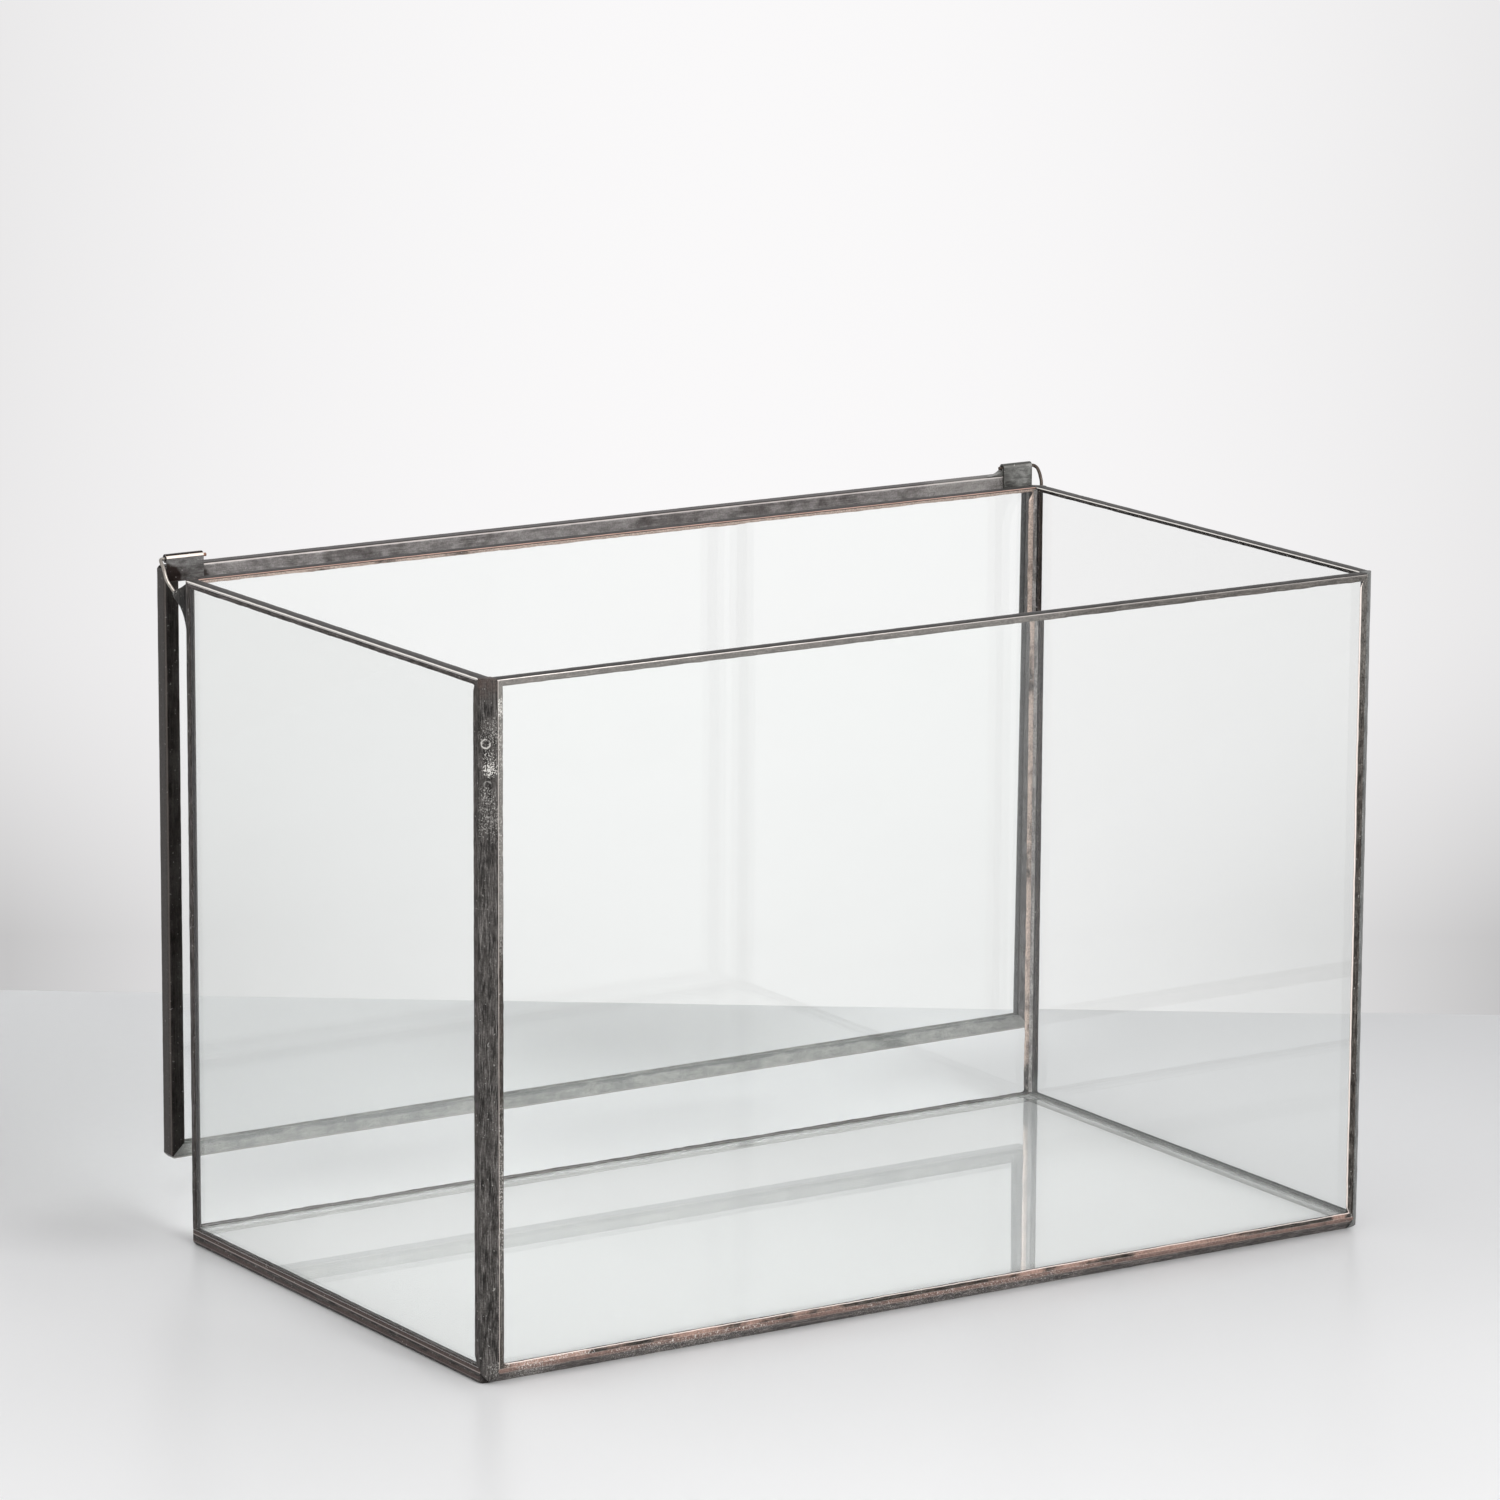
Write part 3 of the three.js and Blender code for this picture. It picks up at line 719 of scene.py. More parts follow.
# Its pale edge colour paints the tube's highlight, and its dark bare colour paints shade on its
# crown.
ROLLED_SHEET = MetalFinish(
    "rolled_sheet",
    dark=(0.11, 0.105, 0.102), mid=(0.21, 0.204, 0.2), light=(0.4, 0.385, 0.37),
    bare=(0.028, 0.019, 0.017), worn_and_highlight=(1.0, 0.88, 0.79), bare_inside=1.0, edge_wear_and_highlight=1.0,
    specks=0.6, roughness=(0.25, 0.45), stains=(Stain((-126.8, 71.4, 162.6), 5.2, 1.5),),
)
TUBE_TONES = {
    "left": ROLLED_SHEET,
    "right": replace(
        ROLLED_SHEET, name="rolled_sheet_soldered",
        dark=(0.15, 0.15, 0.142), mid=(0.33, 0.33, 0.315), light=(0.6, 0.59, 0.56),
        bare=(0.1, 0.1, 0.092), worn_and_highlight=(0.34, 0.33, 0.31), edge_wear_and_highlight=0.3, streaks=0.4,
        mottle=(0.4, 0.62), stains=(),
    ),
}
HINGE_WIRE = MetalFinish(
    "bent_wire",
    dark=(0.27, 0.245, 0.22), mid=(0.46, 0.43, 0.39), light=(0.66, 0.62, 0.57),
    bare=(0.3, 0.16, 0.11), worn_and_highlight=(0.6, 0.55, 0.5), bare_share=0.08, roughness=(0.2, 0.4),
    bump=0.25, stains=(Stain((-115.0, 72.3, 167.9), 3.0, 0.8),),
)
WIRE_TONES = {
    "left": HINGE_WIRE,
    # The right wire is darker here as painted shade: it sits in shadow.
    "right": replace(
        HINGE_WIRE, name="bent_wire_painted_shade",
        dark=(0.05, 0.038, 0.03), mid=(0.13, 0.1, 0.085), light=(0.3, 0.26, 0.23), stains=(),
    ),
}
GUSSET_TONES = {
    "left": replace(
        PATINA, name="gusset_solder",
        dark=(0.012, 0.011, 0.01), mid=(0.03, 0.028, 0.026), light=(0.09, 0.085, 0.08),
        metallic=0.4, marks=(Frost((-125.6, 67.3, 160.5), 1.4, 0.9, 0.6),),
    ),
    "right": SEAM_SOLDER,
}


# --- Shapes ----------------------------------------------------------------------------------
@dataclass(frozen=True)
class Corner:
    """One point of a section: its place, and how the hand, wear and painted highlight act on it.
    """

    a: float
    b: float
    free: float = 0.0
    edge: float = 0.0
    lip: float = 0.0
    inside: float = 0.0

    def row(self) -> tuple[float, ...]:
        """All six numbers."""
        return (self.a, self.b, self.free, self.edge, self.lip, self.inside)

    def towards(self, other: "Corner", share: float) -> "Corner":
        """A point part of the way to another one, with its wear and painted highlight kept to the
        corners.
        """
        values = [mine + (theirs - mine) * share for mine, theirs in zip(self.row(), other.row())]
        return replace(Corner(*values), edge=0.0)


@dataclass(frozen=True)
class Place:
    """Where a run goes: its origin and three directions, in frame millimetres."""

    origin: Triple
    a: Triple
    b: Triple
    along: Triple

    def settle(self, local: np.ndarray) -> np.ndarray:
        """Takes local millimetres to frame metres, held inside the frame's box."""
        settled = (np.array(self.origin) + local @ np.array([self.a, self.b, self.along])) * MM
        return np.clip(settled, np.array(CAD_BOUNDS[0]), np.array(CAD_BOUNDS[1]))


CROWN_STEPS = 8
OUTLINE_STEP = 0.45
CIRCLE_POINTS = 16
WELD = 0.002
SHARP_ANGLE = 38.0


def crown(start: Pair, end: Pair, rise: float, **marks: float) -> list[Corner]:
    """A low crowned line between two points.

    Args:
        start: First point.
        end: Last point.
        rise: Height of the crown, to the left of the line.
        marks: Values that every point gets.

    Returns:
        The points.
    """
    du, dv = end[0] - start[0], end[1] - start[1]
    length = math.hypot(du, dv)
    points = []
    for i in range(CROWN_STEPS + 1):
        t = i / CROWN_STEPS
        lift = rise * 4 * t * (1 - t)
        a = start[0] + du * t - dv / length * lift
        points.append(Corner(a, start[1] + dv * t + du / length * lift, **marks))
    return points


def worn_and_highlit_ends(points: list[Corner], edge: float) -> list[Corner]:
    """The same points with wear and painted highlight on the first and last."""
    return [replace(points[0], edge=edge), *points[1:-1], replace(points[-1], edge=edge)]


def refined(points: Sequence[Corner], step: float) -> list[Corner]:
    """Adds points on the long lines of a closed section.

    Args:
        points: The section.
        step: Longest line that stays whole, where the surface is free.

    Returns:
        The finer section.
    """
    made = []
    for here, there in zip(points, [*points[1:], points[0]]):
        length = math.hypot(there.a - here.a, there.b - here.b)
        shown = max(here.free, there.free) > 0
        pieces = max(1, math.ceil(length / step)) if shown else 1
        made.extend(here if i == 0 else here.towards(there, i / pieces) for i in range(pieces))
    return made


RUN_SIZES = (
    "Length", "Start Mitre", "End Mitre", "Corner Cut", "Ripple", "Wave", "Widen", "Widen Inside",
    "Seed",
)
RUN_INPUTS = {
    **dict.fromkeys(RUN_SIZES, "Float"), "Stations": "Int", "Caps": "Bool", "Finish": "Material"
}
WIRE_INPUTS = {"Radius": "Float", "Seed": "Float", "Finish": "Material"}


def start_tree(name: str, inputs: dict[str, str]) -> tuple[Bench, dict[str, Value]]:
    """Starts a geometry tree with named inputs.

    Args:
        name: The tree's name.
        inputs: Kinds of its inputs, by name.

    Returns:
        A bench on the tree, and its inputs by name.
    """
    tree = bpy.data.node_groups.new(name, "GeometryNodeTree")
    add = tree.interface.new_socket
    for label, kind in {"Geometry": "Geometry", **inputs}.items():
        add(label, in_out="INPUT", socket_type=f"NodeSocket{kind}")
    add("Geometry", in_out="OUTPUT", socket_type="NodeSocketGeometry")
    bench = Bench(tree)
    given = tree.nodes.new("NodeGroupInput")
    return bench, {socket.name: Value(bench, socket) for socket in given.outputs if socket.name}


def end_tree(bench: Bench, geometry: Value, finish: Value) -> bpy.types.NodeTree:
    """Ends a geometry tree with its finish on real geometry.

    Args:
        bench: The tree's bench.
        geometry: The made geometry.
        finish: The material input.

    Returns:
        The tree.
    """
    real = bench.node("GeometryNodeRealizeInstances", None, {"Geometry": geometry})
    sockets = {"Geometry": real, "Material": finish}
    dressed = bench.node("GeometryNodeSetMaterial", None, sockets)
    bench.close("NodeGroupOutput", "Geometry", dressed)
    return bench.tree


# Frequency, octaves and shift of each noise of a run.
LUMPS, RIPPLES = (0.22, 1.0, 0.0), (0.8, 1.0, 5.0)
LONG_WAVES, SHORT_WAVES, NOTCHES = (0.11, 2.0, 9.0), (0.5, 2.0, 13.0), (0.045, 0.0, 17.0)
NOTCH_DEPTH: Pair = (0.52, 0.6)
HELD_END = 0.7
SEED_STEP = 3.1
DENT_FREQUENCY = 0.9
DENT_DEPTH = 0.1


def run_tree() -> bpy.types.NodeTree:
    """The tree of a hand-soldered run: a section swept along a line, mitred and rippled.

    Returns:
        The tree.
    """
    bench, given = start_tree("hand_soldered_run", RUN_INPUTS)
    length, seed = given["Length"], given["Seed"]
    section = bench.node("GeometryNodeMeshToCurve", None, {"Mesh": given["Geometry"]})
    line = bench.node("GeometryNodeCurvePrimitiveLine", None, {"End": bench.xyz(z=length)})
    sockets = {"Curve": line, "Count": given["Stations"]}
    stations = bench.node("GeometryNodeResampleCurve", None, sockets)
    sockets = {"Curve": stations, "Profile Curve": section, "Fill Caps": given["Caps"]}
    swept = bench.node("GeometryNodeCurveToMesh", None, sockets)
    position = bench.node("GeometryNodeInputPosition")
    x, y, z = (bench.part(position, axis) for axis in "XYZ")
    grain = bench.xyz(z, bench.stored("around"), seed * SEED_STEP)
    marked = bench.store(swept, "grain", grain, "FLOAT_VECTOR")
    hold = z.low(length - z).rise(0.0, HELD_END)

    def wander(source: Value, frequency: float, detail: float, shift: float) -> Value:
        """Seeded noise from -1 to 1.

        Args:
            source: Where it is read.
            frequency: Its frequency per millimetre.
            detail: Its octaves.
            shift: Sets it apart from the others.

        Returns:
            The noise.
        """
        sockets = {"Vector": source, "W": seed + shift, "Scale": frequency, "Detail": detail}
        found = bench.node("ShaderNodeTexNoise", {"noise_dimensions": "4D"}, sockets, "Fac")
        return (found - 0.5) * 2.0

    only_along = bench.xyz(z=z)
    ripple = wander(position, *LUMPS) * 0.9 + wander(position, *RIPPLES) * 0.55
    lift = (ripple - 0.8) * given["Ripple"] * bench.stored("free") * hold
    wave = wander(only_along, *LONG_WAVES) + wander(only_along, *SHORT_WAVES) * 0.75
    notch = wander(only_along, *NOTCHES).rise(*NOTCH_DEPTH) * 1.5
    inside = bench.stored("inside")
    widen = given["Widen"] * (1.0 - inside) + given["Widen Inside"] * inside
    drift = ((wave - notch) * given["Wave"] + widen) * bench.stored("lip") * hold
    a = x + drift
    starts = (given["Start Mitre"] * a).high(given["Corner Cut"] - a)
    ends = length - (given["End Mitre"] * a).high(given["Corner Cut"] - a)
    placed = bench.xyz(a, y, starts + (ends - starts) * (z / length))
    return end_tree(bench, bench.pushed(marked, lift, Position=placed), given["Finish"])


def wire_tree() -> bpy.types.NodeTree:
    """The tree of a bent wire: a round section along a route, with the dents of the pliers.

    Returns:
        The tree.
    """
    bench, given = start_tree("bent_wire_run", WIRE_INPUTS)
    route = bench.node("GeometryNodeMeshToCurve", None, {"Mesh": given["Geometry"]})
    along = bench.node("GeometryNodeSplineParameter", None, None, "Length")
    kept = bench.store(route, "along", along)
    sockets = {"Resolution": CIRCLE_POINTS, "Radius": given["Radius"]}
    ring = bench.node("GeometryNodeCurvePrimitiveCircle", None, sockets)
    around = bench.node("GeometryNodeSplineParameter", None, None, "Length")
    ring = bench.store(ring, "around", around)
    sockets = {"Curve": kept, "Profile Curve": ring, "Fill Caps": True}
    swept = bench.node("GeometryNodeCurveToMesh", None, sockets)
    grain = bench.xyz(bench.stored("along"), bench.stored("around"), given["Seed"])
    marked = bench.store(swept, "grain", grain, "FLOAT_VECTOR")
    sockets = {"W": given["Seed"], "Scale": DENT_FREQUENCY, "Detail": 1.0}
    dents = bench.node("ShaderNodeTexNoise", {"noise_dimensions": "4D"}, sockets, "Fac")
    return end_tree(bench, bench.pushed(marked, (dents - 0.7) * DENT_DEPTH), given["Finish"])


def set_attributes(mesh: bpy.types.Mesh, values: dict[str, Sequence[float]]) -> None:
    """Stores point values on a mesh.

    Args:
        mesh: The mesh.
        values: Numbers by attribute name.
    """
    for name, numbers in values.items():
        layer = mesh.attributes.new(name, "FLOAT", "POINT")
        layer.data.foreach_set("value", np.asarray(numbers, np.float32))


def held(mesh: bpy.types.Mesh) -> bpy.types.Object:
    """Puts a mesh on an object of the scene for a while.

    Args:
        mesh: The mesh.

    Returns:
        The object.
    """
    holder = bpy.data.objects.new("holder", mesh)
    bpy.context.scene.collection.objects.link(holder)
    return holder


def evaluated(holder: bpy.types.Object) -> bpy.types.Mesh:
    """The plain mesh that an object's modifiers make; the object goes.

    Args:
        holder: The object.

    Returns:
        The mesh, with its attributes and material.
    """
    bpy.context.view_layer.update()
    graph = bpy.context.evaluated_depsgraph_get()
    source = holder.data
    made = bpy.data.meshes.new_from_object(
        holder.evaluated_get(graph), preserve_all_data_layers=True, depsgraph=graph
    )
    holder.modifiers.clear()
    bpy.data.objects.remove(holder)
    bpy.data.meshes.remove(source)
    return made


def grown(
    tree: bpy.types.NodeTree, source: bpy.types.Mesh, inputs: dict[str, Any]
) -> bpy.types.Mesh:
    """Runs a geometry tree on a mesh.

    Args:
        tree: The tree.
        source: The mesh that goes in, in millimetres.
        inputs: Values of the tree's inputs, by name.

    Returns:
        The made mesh, with its material.
    """
    holder = held(source)
    modifier = holder.modifiers.new("making", "NODES")
    modifier.node_group = tree
    for item in tree.interface.items_tree:
        if item.item_type == "SOCKET" and item.in_out == "INPUT" and item.name in inputs:
            modifier[item.identifier] = inputs[item.name]
    holder.update_tag()
    return evaluated(holder)


def points_of(mesh: bpy.types.Mesh) -> np.ndarray:
    """All points of a mesh.

    Args:
        mesh: The mesh.

    Returns:
        The points, one row each.
    """
    flat = np.empty(len(mesh.vertices) * 3)
    mesh.vertices.foreach_get("co", flat)
    return flat.reshape(-1, 3)


def move_points(mesh: bpy.types.Mesh, points: np.ndarray) -> None:
    """Writes all points of a mesh."""
    mesh.vertices.foreach_set("co", points.ravel())
    mesh.update()


def hand_over(
    name: str, meshes: Sequence[bpy.types.Mesh], body: Body, node: str,
    sharp: float = SHARP_ANGLE,
) -> None:
    """Joins meshes into one piece, with welded seams and outward faces, and hands it over.

    Args:
        name: The piece's name.
        meshes: Meshes in frame metres that share a material.
        body: The body that it rides on.
        node: The CAD node that it replaces.
        sharp: Angle in degrees past which an edge stays sharp.
    """
    bm = bmesh.new()
    for mesh in meshes:
        bm.from_mesh(mesh)
    bmesh.ops.remove_doubles(bm, verts=bm.verts, dist=WELD * MM)
    bmesh.ops.recalc_face_normals(bm, faces=bm.faces)
    joined = bpy.data.meshes.new(name)
    bm.to_mesh(joined)
    bm.free()
    for material in meshes[0].materials:
        joined.materials.append(material)
    for mesh in meshes:
        bpy.data.meshes.remove(mesh)
    joined.shade_smooth()
    joined.set_sharp_from_angle(angle=math.radians(sharp))
    piece = bpy.data.objects.new(name, joined)
    bpy.context.scene.collection.objects.link(piece)
    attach(piece, body.value)
    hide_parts(node)
    LOG.info("%s: %d faces, on %s", name, len(joined.polygons), body.value)


def cad_box(node: str) -> list[Vector]:
    """Lowest and highest corner of a CAD node, in millimetres."""
    return [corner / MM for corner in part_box(node)]


def unit(axis: int, forward: bool = True) -> Triple:
    """The direction of one axis, forward or back."""
    return tuple((1.0 if forward else -1.0) if i == axis else 0.0 for i in range(3))


STATION = 0.8
NO_CUT = -100.0
END_STATIONS = 8
END_PACKING = 1.3
FULLNESS = 1.45
MARKS = ("free", "edge", "lip", "inside")


@dataclass
class Workshop:
    """Makes runs and wires with the shared trees and materials."""

    seed: float = 0.0
    run: bpy.types.NodeTree = field(default_factory=run_tree)
    wire: bpy.types.NodeTree = field(default_factory=wire_tree)
    shelf: dict[str, bpy.types.Material] = field(default_factory=dict)

    def finish(self, finish: MetalFinish | ClearGlass) -> bpy.types.Material:
        """The material of a finish, made once.

        Args:
            finish: The finish.

        Returns:
            Its material.
        """
        if finish.name not in self.shelf:
            self.shelf[finish.name] = finish.material()
        return self.shelf[finish.name]

    def sweep(
        self,
        section: Sequence[Corner],
        length: float,
        place: Place,
        finish: MetalFinish,
        ripple: float = 0.05,
        wave: float = 0.0,
        widen: Pair = (0.0, 0.0),
        mitre: float = 0.0,
        cut: float = NO_CUT,
        caps: bool = True,
        ends: Pair | None = None,
        station: float = STATION,
    ) -> bpy.types.Mesh:
        """Sweeps a section along a line.

        Args:
            section: Closed outline, in millimetres.
            length: Length of the run.
            place: Where the run goes.
            finish: Its metal.
            ripple: Height of its ripples.
            wave: Width of the waves of its lips.
            widen: How much wider its outer and inner lips are made.
            mitre: Slope of its two ends.
            cut: Size of the dressed-off corner at each end.
            caps: Whether its ends are closed.
            ends: How far the outer faces draw in at the start and at the end.
            station: Distance between two rings of points.

        Returns:
            The mesh in frame metres.
        """
        outline = refined(section, OUTLINE_STEP)
        count = len(outline)
        sides = [(i, (i + 1) % count) for i in range(count)]
        mesh = bpy.data.meshes.new("section")
        mesh.from_pydata([(p.a, p.b, 0.0) for p in outline], sides, [])
        steps = [math.dist((p.a, p.b), (q.a, q.b)) for p, q in zip(outline, outline[1:])]
        marks = np.array([p.row()[2:] for p in outline]).T
        set_attributes(mesh, {"around": [0.0, *np.cumsum(steps)], **dict(zip(MARKS, marks))})
        self.seed += 1.0
        inputs = {
            "Length": length,
            "Stations": max(END_STATIONS, round(length / station)),
            "Start Mitre": mitre,
            "End Mitre": mitre,
            "Corner Cut": cut,
            "Ripple": ripple,
            "Wave": wave,
            "Widen": widen[0],
            "Widen Inside": widen[1],
            "Seed": self.seed,
            "Caps": caps,
            "Finish": self.finish(finish),
        }
        made = grown(self.run, mesh, inputs)
        points = points_of(made)
        if ends:
            points = drawn_in(points, length, ends, station)
        move_points(made, place.settle(points))
        return made


def drawn_in(points: np.ndarray, length: float, ends: Pair, station: float) -> np.ndarray:
    """Rounds the ends of an upright run by drawing its outer faces in.

    Args:
        points: Local points; both section axes start at an outer face.
        length: Length of the run.
        ends: Size of the rounding at the start and at the end.
        station: Distance between two rings of points.

    Returns:
        The changed points.
    """
    reach = length / (round(length / station) - 1) * (END_STATIONS - 1)
    spread = np.linspace(0.0, 1.0, END_STATIONS)
    z = points[:, 2]
    for size, away, sign in ((ends[0], z, 1.0), (ends[1], length - z, -1.0)):
        packed = np.append(size * spread[:-1] ** END_PACKING, reach)
        moved = np.where(away < reach, np.interp(away, spread * reach, packed), away)
        depth = np.clip(1 - moved / size, 0, 1) ** FULLNESS
        inset = size * (1 - (1 - depth) ** (1 / FULLNESS))
        points[:, 0] = np.maximum(points[:, 0], inset)
        points[:, 1] = np.maximum(points[:, 1], inset)
        points[:, 2] += (moved - away) * sign
    return points


# --- Sub-assemblies --------------------------------------------------------------------------
@dataclass(frozen=True)
class Shell:
    """The box's outer faces, read from the frame, in millimetres."""

    left: float
    right: float
    front: float
    back: float
    top: float

    @classmethod
    def measured(cls) -> "Shell":
        """Reads the faces from the corner seams.

        Returns:
            The shell.
        """
        low, high = cad_box("corner_seam_front_left")[0], cad_box("corner_seam_back_right")[1]
        return cls(low.x, high.x, low.y, high.y, high.z)

    def wall(self, name: str, inset: float) -> tuple[Place, float]:
        """Place and length of a level run on one wall.

        Args:
            name: front, back, left or right.
            inset: How far its ends stay inside the outer faces.

        Returns:
            The place, with a running inwards and b upwards, and the run's length.
        """
        if name in ("front", "back"):
            y = self.front if name == "front" else self.back
            place = Place(
                (self.left + inset, y, 0.0), unit(1, name == "front"), UPWARDS, RIGHTWARDS
            )
            return place, self.right - self.left - 2 * inset
        x = self.left if name == "left" else self.right
        place = Place((x, self.front + inset, 0.0), unit(0, name == "left"), UPWARDS, BACKWARDS)
        return place, self.back - self.front - 2 * inset

    def corner(self, name: str, bottom: float) -> Place:
        """Place of an upright run at a corner.

        Args:
            name: The corner, such as front_left.
            bottom: Height of its lower end.

        Returns:
            The place, with a and b running inwards.
        """
        in_front, at_left = name.startswith("front"), name.endswith("left")
        x = self.left if at_left else self.right
        y = self.front if in_front else self.back
        return Place((x, y, bottom), unit(0, at_left), unit(1, in_front), UPWARDS)


@dataclass
class Glazing:
    """The six panes, which stay as the frame has them and get their glass."""

    shop: Workshop
    panes: tuple[str, ...] = ("base", "front", "back", "left", "right", "lid")
    glass: ClearGlass = ClearGlass()

    def build(self) -> None:
        """Puts the glass on every pane."""
        material = self.shop.finish(self.glass)
        for name in self.panes:
            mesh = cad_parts[f"{name}_pane"].data
            mesh.materials.clear()
            mesh.materials.append(material)
            LOG.info("%s_pane: clear glass", name)


@dataclass(frozen=True)
class Lips:
    """How wide the lips of one wrap are, and how much wear and painted highlight their edges
    carry, run by run.

    The runs are the two uprights, the bottom and the top; on the base the two short runs come
    first. `wider` and `inside` are added to the outer and the inner width.
    """

    outer: float
    wider: Four = (0.0, 0.0, 0.0, 0.0)
    inside: Four = (0.0, 0.0, 0.0, 0.0)
    crest: Four = (0.2, 0.2, 0.3, 1.0)
    brink: Four = (0.1, 0.1, 0.2, 0.1)
    wave: float = 0.16
    bond: float = 0.02


@dataclass
class FoilWraps:
    """Copper foil folded over the edges of the box's panes, with wavy lips.

    `panes` gives each pane's thin axis, and whether its outer face is the lower one.
    """

    shop: Workshop
    skin: float = 0.15
    inner_lip: float = 0.65
    bevel: float = 0.12
    bevel_depth: float = 0.08
    ripple: float = 0.04
    lips: tuple[tuple[str, Lips], ...] = (
        ("base", Lips(0.8, inside=(-0.4,) * 4, crest=(0.0,) * 4, bond=-0.05)),
        (
            "front",
            Lips(
                1.1, wider=(0.05, 0.85, -0.1, 0.0), inside=(0.1, -0.5, -0.3, -0.2),
                crest=(0.85, 0.0, 0.6, 0.56), brink=(0.1, 1.0, 0.7, 0.1), wave=0.19,
            ),
        ),
        (
            "back",
            Lips(
                0.6, wider=(0.0, 0.0, -0.42, 0.0), inside=(-0.3, 1.25, -0.5, -0.1),
                brink=(0.1, 0.1, 0.0, 0.1), wave=0.26,
            ),
        ),
        (
            "left",
            Lips(
                1.3, wider=(0.55, 0.0, -0.95, -0.25), inside=(0.1, 0.0, -0.45, -0.2),
                crest=(0.2, 0.2, 0.85, 1.0),
            ),
        ),
        (
            "right",
            Lips(0.7, wider=(0.0, 0.0, -0.3, 0.0), inside=(0.0, 0.2, -0.4, -0.2), wave=0.12),
        ),
    )
    panes: tuple[tuple[str, int, bool], ...] = (
        ("base", 2, True),
        ("front", 1, True),
        ("back", 1, False),
        ("left", 0, True),
        ("right", 0, False),
    )

    def section(self, thickness: float, lips: Lips, turn: int) -> list[Corner]:
        """Section of a wrap; the first lip lies on the pane's outer face.

        Args:
            thickness: Thickness of the pane.
            lips: Widths and wear of the wrap.
            turn: Which of its four runs this is.

        Returns:
            The outline.
        """
        skin, bond, outer, inner = self.skin, lips.bond, lips.outer, self.inner_lip
        # Crest and brink mark edge wear and a painted highlight along the wrap's outer edges.
        crest, brink = lips.crest[turn], lips.brink[turn]
        far = thickness + skin
        return [
            Corner(outer, -self.bevel_depth, 0.0, brink, 1.0, 0.0),
            Corner(outer - self.bevel, -skin, 0.02, brink, 1.0, 0.0),
            Corner(outer * 0.33, -skin, 0.02, 0.0, 0.3, 0.0),
            Corner(-skin, -skin, 0.0, crest, 0.0, 0.0),
            Corner(-skin, far, 0.0, 0.0, 0.0, 1.0),
            Corner(inner * 0.4, far, 0.02, 0.0, 0.3, 1.0),
            Corner(inner - self.bevel, far, 0.02, 0.2, 1.0, 1.0),
            Corner(inner, thickness + self.bevel_depth, 0.0, 0.2, 1.0, 1.0),
            Corner(inner, thickness - bond, 0.0, 0.0, 1.0, 1.0),
            Corner(bond, thickness - bond, 0.0, 0.0, 0.0, 1.0),
            Corner(bond, bond, 0.0, 0.0, 0.0, 0.0),
            Corner(outer, bond, 0.0, 0.0, 1.0, 0.0),
        ]

    def build(self) -> None:
        """Makes the five wraps."""
        for name, thin, outer_is_low in self.panes:
            low, high = cad_box(f"{name}_pane")
            first, second = (axis for axis in range(3) if axis != thin)
            lips = dict(self.lips)[name]
            pairs = ((first, second), (second, first))
            turns = [(*pair, at_low) for pair in pairs for at_low in (True, False)]
            runs = []
            for turn, (across, along, at_low) in enumerate(turns):
                origin = list(low)
                origin[thin] = low[thin] if outer_is_low else high[thin]
                origin[across] = low[across] if at_low else high[across]
                directions = unit(across, at_low), unit(thin, outer_is_low), unit(along)
                mesh = self.shop.sweep(
                    self.section(high[thin] - low[thin], lips, turn),
                    high[along] - low[along],
                    Place(tuple(origin), *directions),
                    FOIL_TONES[name],
                    ripple=self.ripple,
                    wave=lips.wave,
                    widen=(lips.wider[turn], lips.inside[turn]),
                    mitre=1.0,
                    caps=False,
                )
                runs.append(mesh)
            hand_over(f"foil_wrap_{name}", runs, Body.BOX, f"{name}_foil")


CHAMFER = 3.13
CHAMFER_CROWN = 0.12


